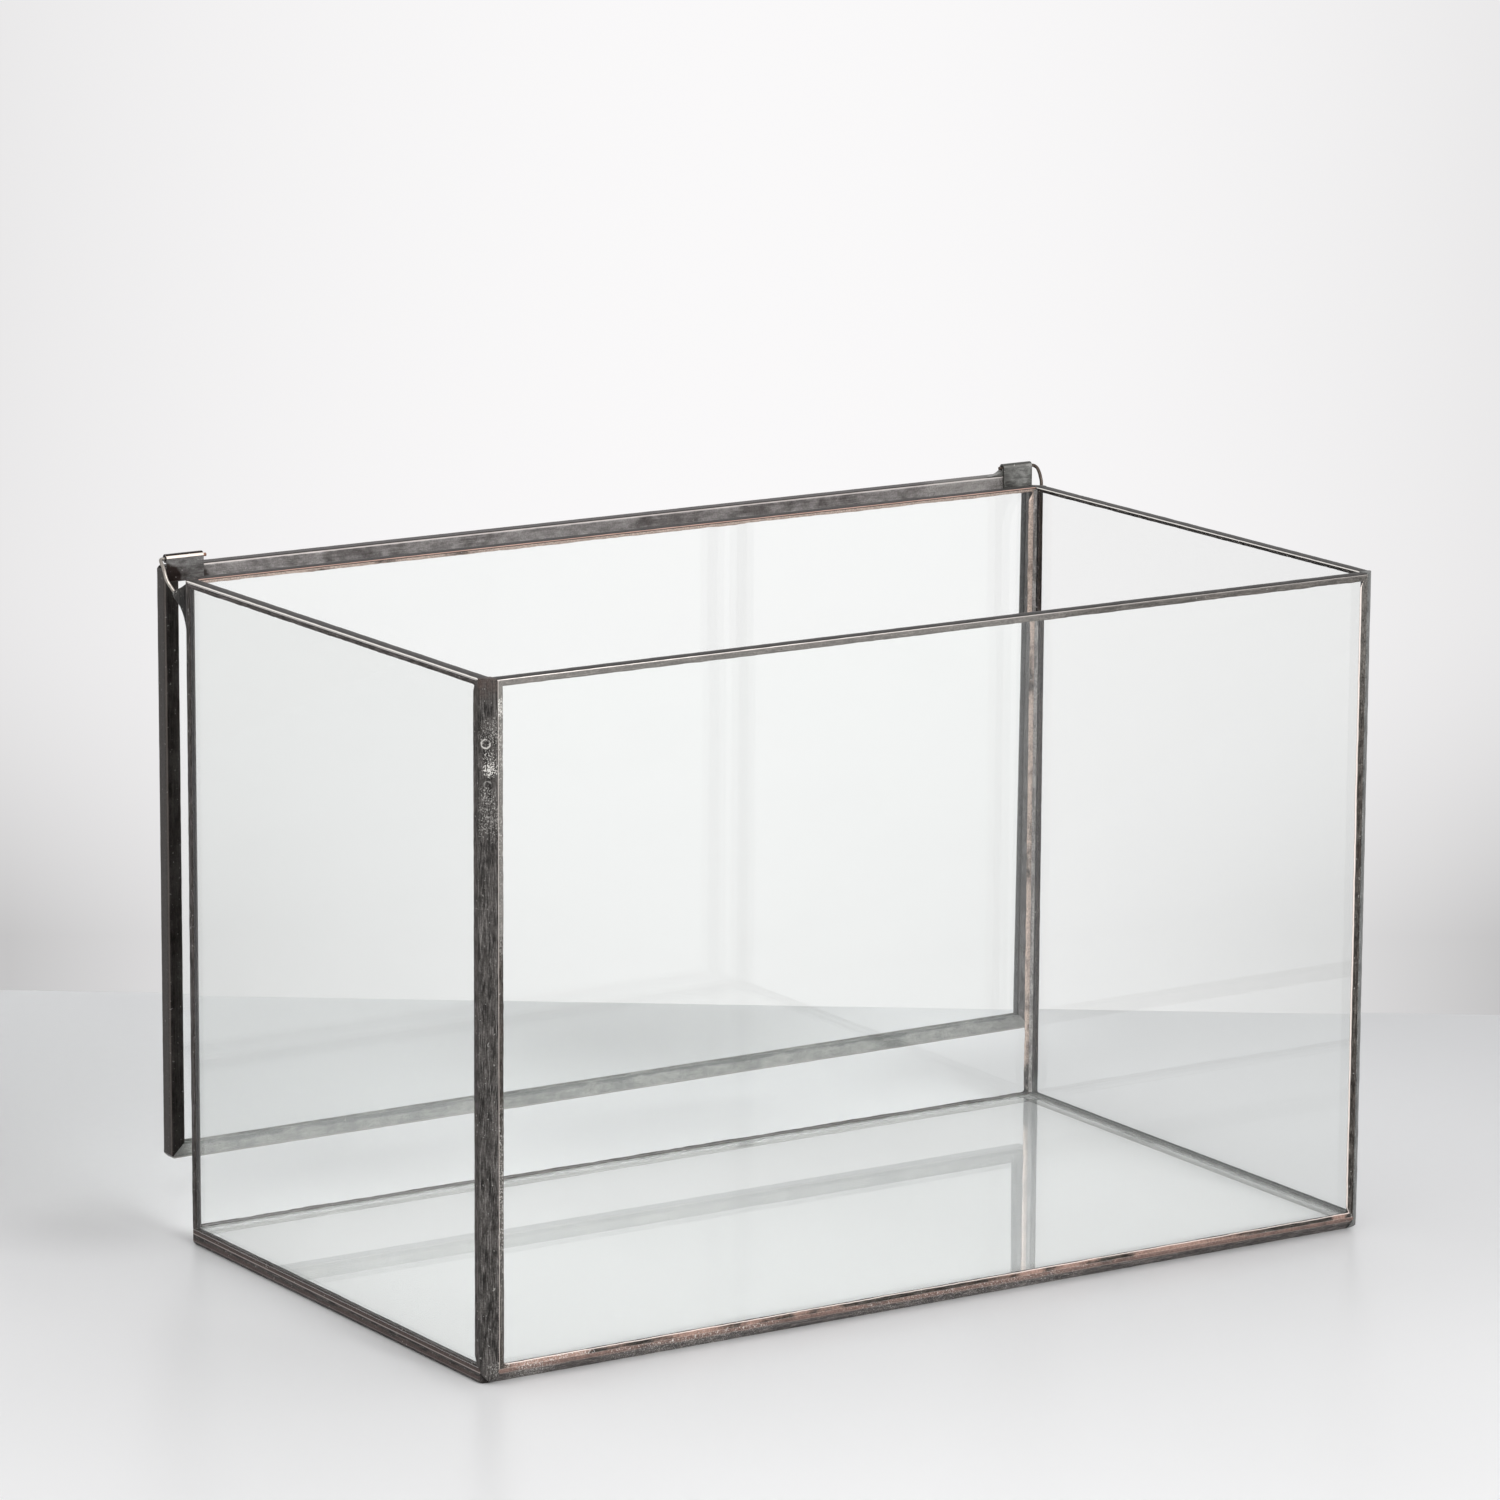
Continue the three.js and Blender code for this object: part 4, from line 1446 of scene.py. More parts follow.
@dataclass
class SolderSeams:
    """Posts, bottom seams, rim beads and the small beads inside.

    `seam_chamfers` gives the leg and the crown of each wall's bottom seam, and `base_beads` the
    leg of each wall's bead on the base.
    """

    shop: Workshop
    shell: Shell
    wall: float = 3.3
    notch: float = 0.3
    tuck: float = 0.14
    tuck_skin: float = 0.04
    foot: float = 0.3
    foot_reach: float = 5.0
    foot_bevel: Pair = (0.15, 0.12)
    foot_gap: float = 0.05
    floor: float = 3.65
    rim: float = 0.45
    rim_shoulder: float = 0.15
    rim_round: float = 0.12
    rim_step: float = 0.08
    rim_hem: float = 0.1
    bead: float = 0.7
    bead_crown: float = 0.08
    bead_gap: float = 0.05
    slim_bead: float = 0.35
    foot_round: float = 3.1
    top_round: float = 0.35
    seam_chamfers: tuple[tuple[str, Pair], ...] = (
        ("front", (CHAMFER, CHAMFER_CROWN)),
        ("back", (CHAMFER, CHAMFER_CROWN)),
        ("left", (0.9, 0.25)),
        ("right", (CHAMFER, CHAMFER_CROWN)),
    )
    ledges: tuple[str, ...] = ("front", "left")
    ledge_height: float = 0.84
    ledge_wear_and_glint: float = 0.62
    tall_face: float = 1.0
    tall_edge: Pair = (2.3, 2.65)
    base_beads: tuple[tuple[str, float], ...] = (
        ("front", 0.7), ("back", 0.22), ("left", 0.3), ("right", 0.32)
    )
    glass_top: float = 163.35

    def hidden(self, top: float) -> list[Corner]:
        """The last points of a seam, in the notch behind its outer face.

        Args:
            top: Height of the notch.

        Returns:
            The points.
        """
        deep = top + self.tuck
        return [Corner(self.tuck_skin, deep), Corner(self.notch, deep), Corner(self.notch, top)]

    def post_section(self) -> list[Corner]:
        """Section of a corner post, from its chamfer round the hidden notch.

        Returns:
            The outline.
        """
        face = crown((CHAMFER, 0.0), (0.0, CHAMFER), CHAMFER_CROWN, free=1.0)
        hidden = self.hidden(self.wall)
        return [
            Corner(self.wall, self.wall),
            *[Corner(p.b, p.a) for p in reversed(hidden)],
            Corner(self.wall, 0.0, 0.1),
            *worn_and_highlit_ends(face, 0.2),
            Corner(0.0, self.wall, 0.1),
            *hidden,
        ]

    def bottom_section(self, name: str) -> list[Corner]:
        """Section of a wall's bottom seam with the flat bead under the base.

        Args:
            name: The wall.

        Returns:
            The outline. Its upper half and the far end of the bead count as inside, for the tone.
        """
        leg, rise = dict(self.seam_chamfers)[name]
        face = worn_and_highlit_ends(crown((leg, 0.0), (0.0, leg), rise, free=1.0), 0.35)
        toned = 1.0 if name in self.ledges else 0.0
        upper = [i for i, p in enumerate(face) if p.b > leg * self.ledge_height]
        for i in upper:
            face[i] = replace(face[i], inside=toned)
        # Pale broken line along the ledge: partly wear, partly painted glints of the seam's
        # bumps.
        face[upper[0]] = replace(face[upper[0]], edge=self.ledge_wear_and_glint * toned)
        if self.floor - leg > self.tall_face:
            low, high = self.tall_edge
            face += [Corner(0.0, low, 0.1), Corner(0.0, high, 0.1, 0.85, 0.0, 0.7 * toned)]
        return [
            Corner(self.wall, self.floor),
            Corner(self.wall, self.foot),
            Corner(self.foot_reach, self.foot, 0.0, 0.0, 1.0, 1.0 - toned),
            Corner(self.foot_reach, self.foot_bevel[1], 0.1, 0.3, 1.0, 1.0 - toned),
            Corner(self.foot_reach - self.foot_bevel[0], 0.0, 0.1, 0.0, 1.0),
            Corner(self.wall, 0.0, 0.05),
            *face,
            Corner(0.0, self.floor, 0.1, 0.0, 0.0, toned),
            *self.hidden(self.floor),
        ]

    def rim_section(self, worn_and_highlight: float) -> list[Corner]:
        """Section of the low bead on a wall's top edge.

        Args:
            worn_and_highlight: Wear and painted highlight along the edges of its top.

        Returns:
            The outline.
        """
        bottom = self.shell.top - self.rim
        shoulder = bottom + self.rim_shoulder
        start = (self.rim_round, shoulder + self.rim_step)
        end = (self.wall - self.rim_round, shoulder + self.rim_step)
        top = crown(start, end, self.shell.top - shoulder - self.rim_step, free=0.8)
        return [
            Corner(self.wall - 0.05, bottom - self.rim_hem),
            Corner(0.05, bottom - self.rim_hem),
            Corner(0.0, bottom - 0.02, 0.0, 0.3),
            # The outer shoulder carries the rim's painted highlight line.
            Corner(0.0, shoulder, 0.1, 1.0),
            *worn_and_highlit_ends(top, worn_and_highlight),
            Corner(self.wall, shoulder, 0.1, worn_and_highlight - 0.3),
            Corner(self.wall, bottom - 0.02),
        ]

    def inner_section(self, level: float, leg: float) -> list[Corner]:
        """Section of a small bead in an inside corner.

        Args:
            level: Where the second face of the corner lies.
            leg: Width of the bead on both faces.

        Returns:
            The outline.
        """
        near = self.wall + self.bead_gap
        far, under = near + leg, level - self.tuck_skin
        face = crown((far, level), (near, level + leg), -self.bead_crown, free=0.8, inside=1.0)
        back = [(near - self.tuck_skin, under), (far, under)]
        return [*[Corner(a, b, inside=1.0) for a, b in back], *face]

    def build(self) -> None:
        """Makes all the solder of the box."""
        sweep = self.shop.sweep
        for name in CORNERS:
            place, ends = self.shell.corner(name, 0.0), (self.foot_round, self.top_round)
            section, tone = self.post_section(), POST_TONES[name]
            mesh = sweep(section, self.shell.top, place, tone, ripple=0.1, ends=ends)
            node = f"corner_seam_{name}"
            hand_over(f"solder_post_{name}", [mesh], Body.BOX, node)
        base_level = self.floor + self.bead_gap
        for name in WALLS:
            rim = self.rim_section(0.3 if name == "front" else 0.9)
            inner = self.inner_section(base_level, dict(self.base_beads)[name])
            runs = {
                "bottom_seam": (self.bottom_section(name), 0.09, 3.2, 0.12, SEAM_TONES),
                "rim_bead": (rim, 0.09, 3.2, 0.0, RIM_TONES),
                "inner_base_bead": (inner, 0.13, 3.35, 0.0, INNER_TONES),
            }
            for kind, (section, ripple, inset, wave, tones) in runs.items():
                place, length = self.shell.wall(name, inset)
                mesh = sweep(section, length, place, tones[name], ripple=ripple, wave=wave)
                if kind == "bottom_seam" and name in ("left", "right"):
                    self.shorten(mesh, place)
                node = f"{kind}_{name}"
                hand_over(f"solder_{node}", [mesh], Body.BOX, node)
        bottom = base_level + self.bead
        for name in CORNERS:
            place = self.shell.corner(name, bottom)
            leg = self.slim_bead if name == "front_right" else self.bead
            section = self.inner_section(self.wall + self.bead_gap, leg)
            tone = PALE_SOLDER if name == "back_right" else SEAM_SOLDER
            mesh = sweep(section, self.glass_top - bottom, place, tone, ripple=0.09)
            node = f"inner_corner_bead_{name}"
            hand_over(f"solder_inner_post_{name}", [mesh], Body.BOX, node)

    def shorten(self, mesh: bpy.types.Mesh, place: Place) -> None:
        """Stops the flat bead of a short wall's seam at the long walls' beads.

        Args:
            mesh: The seam, in frame metres.
            place: Where it runs.
        """
        points = points_of(mesh)
        inwards = np.abs(points[:, 0] / MM - place.origin[0])
        along = points[:, 1] / MM
        reach = self.foot_reach + self.foot_gap
        held_back = np.clip(along, self.shell.front + reach, self.shell.back - reach)
        flat = (inwards > self.wall + 0.02) & (points[:, 2] / MM < self.foot + 0.01)
        points[:, 1] = np.where(flat, held_back, along) * MM
        move_points(mesh, points)


@dataclass
class Lid:
    """The border of the hanging lid: four mitred strips of U-shaped metal."""

    shop: Workshop
    width: float = 3.9
    web: float = 0.5
    slot: float = 0.4
    rounding: float = 0.6
    bend_steps: int = 5
    painted_highlight_bend: Pair = (0.2, 0.75)
    brink: float = 0.1
    face: float = 1.2
    corner_cut: float = 1.2
    front_shade: float = 0.38
    right_taper: float = 0.45
    taper_margin: float = 8.0
    kept_edge: float = 1.0

    def section(self, thickness: float, shade: float) -> list[Corner]:
        """Section of a strip: distance in from the lid's edge, then depth from its front face.

        Args:
            thickness: Thickness of the lid.
            shade: Painted shade, a shadow line on the inner lip of the front face, in place of
                its wear.

        Returns:
            The outline.
        """
        width, brink = self.width, self.brink
        low, high = self.slot, thickness - self.slot
        return [
            Corner(width, low),
            Corner(self.web, low),
            Corner(self.web, high),
            Corner(width, high),
            Corner(width, thickness - brink, 0.1, 0.5, 1.0),
            Corner(width - brink, thickness, 0.3, 0.3, 1.0),
            Corner(width - self.face, thickness, 0.5),
            *self.bend(thickness - self.rounding, math.pi / 2),
            *self.bend(self.rounding, math.pi),
            Corner(width - self.face, 0.0, 0.5),
            Corner(width - brink, 0.0, 0.3, 0.0 if shade else 0.3, 1.0, shade),
            Corner(width, brink, 0.1, 0.0 if shade else 0.5, 1.0, shade),
        ]

    def bend(self, depth: float, start: float) -> list[Corner]:
        """A rounded corner of the strip, with a painted highlight band across its bend and darker
        towards its edge face.

        Args:
            depth: Depth of the bend's centre.
            start: Angle of its first point.

        Returns:
            Its points.
        """
        made = []
        for i in range(self.bend_steps + 1):
            angle = start + i * math.pi / (2 * self.bend_steps)
            across = self.rounding * (1 + math.cos(angle))
            start_bright, end_bright = (self.rounding * share for share in self.painted_highlight_bend)
            highlight = 1.0 if start_bright < across < end_bright else 0.1
            dark = 1.0 if across < start_bright else 0.0
            down = depth + self.rounding * math.sin(angle)
            made.append(Corner(across, down, 0.6, highlight, 0.0, dark))
        return made

    def build(self) -> None:
        """Makes the four strips."""
        boxes = {name: cad_box(f"lid_border_{name}") for name in LID_TONES}
        lowest = [boxes[name][0] for name in ("left", "right", "front")]
        highest = [boxes[name][1] for name in ("left", "right", "hinge_side")]
        low = Vector([min(corner[i] for corner in lowest) for i in range(3)])
        high = Vector([max(corner[i] for corner in highest) for i in range(3)])
        sides = {
            "hinge_side": ((low.x, low.y, high.z), unit(2, False), RIGHTWARDS),
            "front": (tuple(low), UPWARDS, RIGHTWARDS),
            "left": (tuple(low), RIGHTWARDS, UPWARDS),
            "right": ((high.x, low.y, low.z), unit(0, False), UPWARDS),
        }
        for name, (origin, inwards, along) in sides.items():
            mesh = self.shop.sweep(
                self.section(high.y - low.y, self.front_shade if name == "front" else 0.0),
                high.x - low.x if along == RIGHTWARDS else high.z - low.z,
                Place(origin, inwards, BACKWARDS, along),
                LID_TONES[name],
                ripple=0.07,
                wave=0.07,
                mitre=1.0,
                cut=self.corner_cut,
            )
            if name == "right":
                self.narrow(mesh, high.x, low.z, high.z)
            node = f"lid_border_{name}"
            hand_over(f"border_strip_{name}", [mesh], Body.LID, node)

    def narrow(self, mesh: bpy.types.Mesh, edge: float, low: float, high: float) -> None:
        """Draws the face of the right strip in towards its top, as the hand-cut one is.

        Args:
            mesh: The strip, in frame metres.
            edge: Place of its outer edge.
            low: Height of its lower end.
            high: Height of its upper end.
        """
        points = points_of(mesh)
        span = high - low - 2 * self.taper_margin
        rise = np.clip((points[:, 2] / MM - low - self.taper_margin) / span, 0.0, 1.0)
        inwards = edge - points[:, 0] / MM
        drawn = self.kept_edge + (inwards - self.kept_edge) * (1.0 - self.right_taper * rise)
        points[:, 0] = (edge - np.where(inwards > self.kept_edge, drawn, inwards)) * MM
        move_points(mesh, points)


@dataclass
class Hinges:
    """Rolled knuckles on the lid, and bent wires in gussets of solder on the box.

    `route` gives the wire's way as shares of its run from the foot out to the bulge, from the
    foot to the axis and from the axis down. `gusset` gives, ring by ring, how far down it lies,
    how far it reaches over the post and how thick it is, as shares of its full size.
    """

    shop: Workshop
    shell: Shell
    tube: float = 1.05
    bore: float = 0.65
    slit: float = 6.0
    leaf_bevel: float = 0.12
    outer_steps: int = 34
    inner_steps: int = 24
    painted_highlight_arc: Pair = (2.5, 3.1)
    painted_shade_arc: Pair = (1.2, 2.35)
    knuckle_station: float = 0.3
    wire: float = 0.45
    tips: tuple[tuple[str, float], ...] = (("left", 1.1), ("right", -0.4))
    post_gap: float = 0.1
    bulge_gap: float = 0.5
    foot_drop: float = 7.5
    curve_steps: int = 7
    route: tuple[Triple, ...] = (
        (0.873, 0.978, 0.013), (0.992, 0.866, 0.048), (1.0, 0.723, 0.123), (0.992, 0.604, 0.237),
        (0.944, 0.492, 0.395), (0.718, 0.38, 0.551), (0.52, 0.275, 0.675), (0.299, 0.158, 0.797),
        (0.082, 0.043, 0.921), (0.0, 0.0, 1.0),
    )
    gusset: tuple[Triple, ...] = (
        (-0.34, 0.06, 0.1), (-0.28, 0.16, 0.4), (-0.12, 0.4, 0.7), (0.02, 0.86, 0.8),
        (0.1, 1.0, 0.9), (0.24, 0.93, 1.0), (0.42, 0.76, 0.97), (0.62, 0.56, 0.86),
        (0.84, 0.42, 0.72), (1.15, 0.28, 0.6), (1.6, 0.17, 0.45), (2.05, 0.08, 0.28),
        (2.2, 0.02, 0.08),
    )
    gusset_height: float = 5.6
    gusset_reach: float = 4.3
    gusset_thickness: float = 2.6
    gusset_top: float = 2.9
    gusset_bite: float = 0.5
    gusset_levels: int = 2
    gusset_sharp: float = 60.0
    lumps: Pair = (0.06, 0.14)
    lump_frequency: float = 0.7
    fillet: Pair = (3.2, 2.1)
    fillet_root: Pair = (0.06, 0.05)
    fillet_steps: int = 10
    fillet_station: float = 0.2
    right_inner_end: float = 117.2

    def build(self) -> None:
        """Makes both hinges."""
        high = cad_box("hinge_knuckle_left")[1]
        axis = (high.y - self.tube, high.z - self.tube)
        for name, side in (("left", -1.0), ("right", 1.0)):
            self.add_knuckle(name, axis)
            self.add_wire(name, side, axis)
            self.add_gusset(name, side)
        self.add_fillet()

    def add_knuckle(self, name: str, axis: Pair) -> None:
        """A sheet rolled round the wire, with its leaf on the lid.

        Args:
            name: left or right.
            axis: Depth and height of the hinge axis.
        """
        low, high = cad_box(f"hinge_knuckle_{name}")
        bottom = low.z - axis[1]
        end = -math.acos(-self.bore / self.tube) + math.radians(self.slit)
        outside = np.linspace(math.pi, end, self.outer_steps)
        inside = np.linspace(end, math.pi, self.inner_steps)
        section = [
            Corner(-self.bore, bottom),
            Corner(-self.tube, bottom + self.leaf_bevel, 0.3, 0.4),
            Corner(-self.tube, bottom * 0.5, 0.4),
            *[self.rolled(self.tube, angle) for angle in outside],
            *[self.rolled(self.bore, angle) for angle in inside],
        ]
        start = self.right_inner_end if name == "right" else low.x
        place = Place((start, *axis), BACKWARDS, UPWARDS, RIGHTWARDS)
        tone, station = TUBE_TONES[name], self.knuckle_station
        made = self.shop.sweep(
            section, high.x - start, place, tone, ripple=0.035, station=station
        )
        node = f"hinge_knuckle_{name}"
        hand_over(f"rolled_knuckle_{name}", [made], Body.LID, node)

    def rolled(self, radius: float, angle: float) -> Corner:
        """A point of the rolled sheet, with a painted highlight in front of the crown and painted
        shade on it.

        Args:
            radius: Distance from the axis.
            angle: Its angle round the axis.

        Returns:
            The point.
        """
        outer = radius == self.tube
        highlight, dark = (
            1.0 if outer and start < angle < end else 0.0
            for start, end in (self.painted_highlight_arc, self.painted_shade_arc)
        )
        place = (radius * math.cos(angle), radius * math.sin(angle))
        return Corner(*place, 0.6 if outer else 0.0, highlight, 0.0, dark)

    def wire_route(self, name: str, side: float, axis: Pair) -> list[Vector]:
        """Centre line of a wire, from its tip in the tube to its foot on the post.

        Args:
            name: left or right.
            side: -1 at the left, 1 at the right.
            axis: Depth and height of the hinge axis.

        Returns:
            Close points, in frame millimetres.
        """
        inner, outer = sorted(abs(corner.x) for corner in cad_box(f"hinge_knuckle_{name}"))
        shell = self.shell
        inset = CHAMFER / 2 - (self.wire + self.post_gap + CHAMFER_CROWN) * math.sqrt(0.5)
        foot = Vector((shell.right - inset, shell.back - inset, shell.top - self.foot_drop))
        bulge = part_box("lid_border_right")[1].x / MM + self.bulge_gap + self.wire
        tip = inner - dict(self.tips)[name]
        path = [Vector((x, *axis)) for x in (tip, (tip + outer) / 2, outer)]
        for out, back, down in self.route:
            x, y = foot.x + (bulge - foot.x) * out, foot.y + (axis[0] - foot.y) * back
            path.append(Vector((x, y, axis[1] + (foot.z - axis[1]) * down)))
        path.append(foot - Vector(UPWARDS))
        return smoothed([Vector((side * p.x, p.y, p.z)) for p in path], self.curve_steps)

    def add_wire(self, name: str, side: float, axis: Pair) -> None:
        """One bent wire.

        Args:
            name: left or right.
            side: -1 at the left, 1 at the right.
            axis: Depth and height of the hinge axis.
        """
        route = self.wire_route(name, side, axis)
        mesh = bpy.data.meshes.new("route")
        mesh.from_pydata(route, [(i, i + 1) for i in range(len(route) - 1)], [])
        finish = self.shop.finish(WIRE_TONES[name])
        inputs = {"Radius": self.wire, "Seed": 3.0 + side, "Finish": finish}
        made = grown(self.shop.wire, mesh, inputs)
        move_points(made, points_of(made) * MM)
        hand_over(f"bent_wire_{name}", [made], Body.BOX, f"hinge_wire_{name}")

    def add_gusset(self, name: str, side: float) -> None:
        """The blob of solder that holds a wire's foot on the post.

        Args:
            name: left or right.
            side: -1 at the left, 1 at the right.
        """
        holder = held(self.gusset_cage())
        holder.modifiers.new("soft", "SUBSURF").levels = self.gusset_levels
        made = evaluated(holder)
        points = points_of(made)
        turn = math.pi / 4 if side > 0 else 3 * math.pi / 4
        spin = np.array(Matrix.Rotation(turn, 3, "Z"))
        x = side * (self.shell.right - CHAMFER / 2)
        y = self.shell.back - CHAMFER / 2
        shift = Vector((side * 9, 0, 0))
        lumps = np.array([noise.noise(Vector(p) * self.lump_frequency + shift) for p in points])
        for i, height in enumerate(self.lumps):
            points[:, i] *= 1 + height * lumps
        points = points @ spin.T + np.array([x, y, self.shell.top - self.gusset_top])
        layer = made.attributes.new("grain", "FLOAT_VECTOR", "POINT")
        grain = np.ascontiguousarray(points[:, [2, 0, 1]], np.float32)
        layer.data.foreach_set("vector", grain.ravel())
        move_points(made, points * MM)
        made.materials.append(self.shop.finish(GUSSET_TONES[name]))
        piece, node, sharp = f"solder_gusset_{name}", f"wire_gusset_{name}", self.gusset_sharp
        hand_over(piece, [made], Body.BOX, node, sharp)

    def gusset_cage(self) -> bpy.types.Mesh:
        """Rings lofted down the post, closed at both ends, before they are softened.

        Returns:
            The mesh, in millimetres round the gusset's foot.
        """
        count = CIRCLE_POINTS
        verts = []
        for down, reach, thickness in self.gusset:
            half = (reach * self.gusset_reach + self.gusset_bite) / 2
            for i in range(count):
                angle = 2 * math.pi * i / count
                across = half * (1 + math.cos(angle)) - self.gusset_bite
                out = thickness * self.gusset_thickness / 2 * math.sin(angle)
                verts.append((across, out, -down * self.gusset_height))
        faces = []
        for start in range(0, len(verts) - count, count):
            for i in range(count):
                here, there = start + i, start + (i + 1) % count
                faces.append((here, there, there + count, here + count))
        faces.append(tuple(range(count)))
        faces.append(tuple(range(len(verts) - count, len(verts)))[::-1])
        mesh = bpy.data.meshes.new("gusset")
        mesh.from_pydata(verts, [], faces)
        return mesh

    def add_fillet(self) -> None:
        """The hollow-sided fillet at the inner end of the right leaf."""
        low, high = cad_box("leaf_fillet_right")
        length, height = self.fillet
        length = length + self.right_inner_end - high.x
        curve = [
            Corner(-length * (1 - math.sin(t)), height * (1 - math.cos(t)), 0.5, 0.3)
            for t in np.linspace(0.0, math.pi / 2, self.fillet_steps)
        ]
        root, under = self.fillet_root
        section = [Corner(root, -under), *curve, Corner(root, height)]
        place = Place((self.right_inner_end, low.y, low.z), RIGHTWARDS, UPWARDS, BACKWARDS)
        tone, station = TUBE_TONES["right"], self.fillet_station
        mesh = self.shop.sweep(
            section, high.y - low.y, place, tone, ripple=0.05, station=station
        )
        hand_over("solder_leaf_fillet", [mesh], Body.LID, "leaf_fillet_right")


def between(p: Vector, q: Vector, start: float, end: float, t: float) -> Vector:
    """The point at t on the line from p, at start, to q, at end."""
    return p * ((end - t) / (end - start)) + q * ((t - start) / (end - start))


def smoothed(path: Sequence[Vector], steps: int) -> list[Vector]:
    """A centripetal curve through points.

    Args:
        path: The points.
        steps: Pieces between two of them.

    Returns:
        The curve's points.
    """
    full = [path[0] * 2 - path[1], *path, path[-1] * 2 - path[-2]]
    made = []
    for p0, p1, p2, p3 in zip(full, full[1:], full[2:], full[3:]):
        t0 = 0.0
        t1 = t0 + (p1 - p0).length ** 0.5
        t2 = t1 + (p2 - p1).length ** 0.5
        t3 = t2 + (p3 - p2).length ** 0.5
        for i in range(steps):
            t = t1 + (t2 - t1) * i / steps
            middle = between(p1, p2, t1, t2, t)
            before = between(between(p0, p1, t0, t1, t), middle, t0, t2, t)
            after = between(middle, between(p2, p3, t2, t3, t), t1, t3, t)
            made.append(between(before, after, t1, t2, t))
    made.append(path[-1])
    return made


@dataclass
class Studio:
    """White table, pale backdrop, soft light from the front, and the photograph's camera.

    The table's back edge runs through `edge_point`. The table's patch list gives soft patches of
    painted shadow and painted light: place, reach and change of tone.
    """

    eye: Triple = (-0.943289, -1.453566, 0.492419)
    azimuth: float = -0.57278
    elevation: float = 0.21153
    roll: float = 0.00535
    lens: float = 176.28
    sensor: float = 36.0
    far_clip: float = 50.0
    edge_point: Pair = (0.1196, 0.1958)
    edge_along: Pair = (0.8144, -0.5804)
    table_side: float = 3.0
    table_depth: float = 3.2
    table_fade: float = 0.46
    table_rough: Pair = (0.32, 0.05)
    table_specular: float = 0.35
    table_back_painted_shade: Triple = (0.575, 0.58, 0.59)
    table_front: Triple = (0.92, 0.92, 0.925)
    backdrop_away: float = 1.6
    backdrop_sides: Pair = (9.0, 5.0)
    backdrop_height: float = 3.0
    shade_top: float = 0.25
    shade_height: float = 0.5
    corner_shade: Pair = (0.14, 1.05)
    foot_shade: float = 0.05
    backdrop_tone: Triple = (0.955, 0.945, 0.95)
    backdrop_paint: Triple = (0.9, 0.9, 0.9)
    world_tone: Triple = (0.93, 0.925, 0.93)
    ambient: float = 0.8
    key_power: float = 30.0
    key_size: float = 0.9
    key_place: Triple = (0.05, -2.3, 1.25)
    key_aim: Triple = (0.0, 0.0, 0.05)
    painted_table_light_and_shadow: tuple[tuple[Pair, float, float], ...] = (
        ((-0.12, 0.17), 0.18, -0.24), ((-0.22, -0.05), 0.2, -0.07), ((0.165, 0.03), 0.16, 0.2),
        ((-0.03, 0.015), 0.13, 0.1), ((0.065, 0.18), 0.07, -0.27), ((0.03, -0.25), 0.12, -0.05),
        ((0.155, 0.155), 0.06, 0.34), ((0.025, 0.1), 0.07, -0.1), ((-0.137, 0.088), 0.036, -0.14),
        ((-0.1, 0.035), 0.08, 0.14), ((-0.055, 0.115), 0.05, -0.08), ((0.08, 0.0), 0.05, 0.07),
    )

    def turn(self) -> Matrix:
        """The camera's rotation.

        Returns:
            A matrix whose columns point right, up and back.
        """
        flat, rise = math.cos(self.elevation), math.sin(self.elevation)
        back = Vector((math.sin(self.azimuth) * flat, -math.cos(self.azimuth) * flat, rise))
        right = (-back).cross(Vector(UPWARDS)).normalized()
        up = right.cross(-back)
        rolled = right * math.cos(self.roll) + up * math.sin(self.roll)
        upright = up * math.cos(self.roll) - right * math.sin(self.roll)
        return Matrix((rolled, upright, back)).transposed()

    def table_edge(self) -> tuple[Vector, Vector, Vector]:
        """A point of the table's back edge, its direction, and the way to the front."""
        along = Vector((*self.edge_along, 0.0))
        return Vector((*self.edge_point, 0.0)), along, Vector((along.y, -along.x, 0.0))

    def build(self) -> None:
        """Sets up everything round the object."""
        self.add_camera()
        self.add_table()
        self.add_backdrop()
        self.add_light()
        bpy.context.scene.view_settings.view_transform = "Standard"

    def add_camera(self) -> None:
        """The camera, at the place found from the photograph."""
        data = bpy.data.cameras.new("camera")
        data.lens = self.lens
        data.sensor_width = self.sensor
        data.clip_end = self.far_clip
        camera = bpy.data.objects.new("camera", data)
        camera.matrix_world = Matrix.Translation(self.eye) @ self.turn().to_4x4()
        bpy.context.scene.collection.objects.link(camera)
        bpy.context.scene.camera = camera

    def sheet(self, name: str, corners: Sequence[Vector], material: bpy.types.Material) -> None:
        """A flat stage sheet.

        Args:
            name: Its name.
            corners: Its four corners, in metres.
            material: Its finish.
        """
        mesh = bpy.data.meshes.new(name)
        mesh.from_pydata([tuple(c) for c in corners], [], [(0, 1, 2, 3)])
        mesh.materials.append(material)
        sheet = bpy.data.objects.new(name, mesh)
        bpy.context.scene.collection.objects.link(sheet)

    def add_table(self) -> None:
        """The white table, whose back edge shows behind the box, with painted shade towards its
        back and painted patches of shadow and light.
        """
        point, along, near = self.table_edge()
        made = bpy.data.materials.new("white_table")
        bench = cleared(made)
        at = bench.object_place()
        off = bench.vector("SUBTRACT", at, tuple(point))
        away = bench.vector("DOT_PRODUCT", off, tuple(near), "Value")
        # Painted shade: the table's colour darkens towards its back edge, as the light falls off.
        colour = bench.blend(away.rise(0.0, self.table_fade), self.table_back_painted_shade, self.table_front)
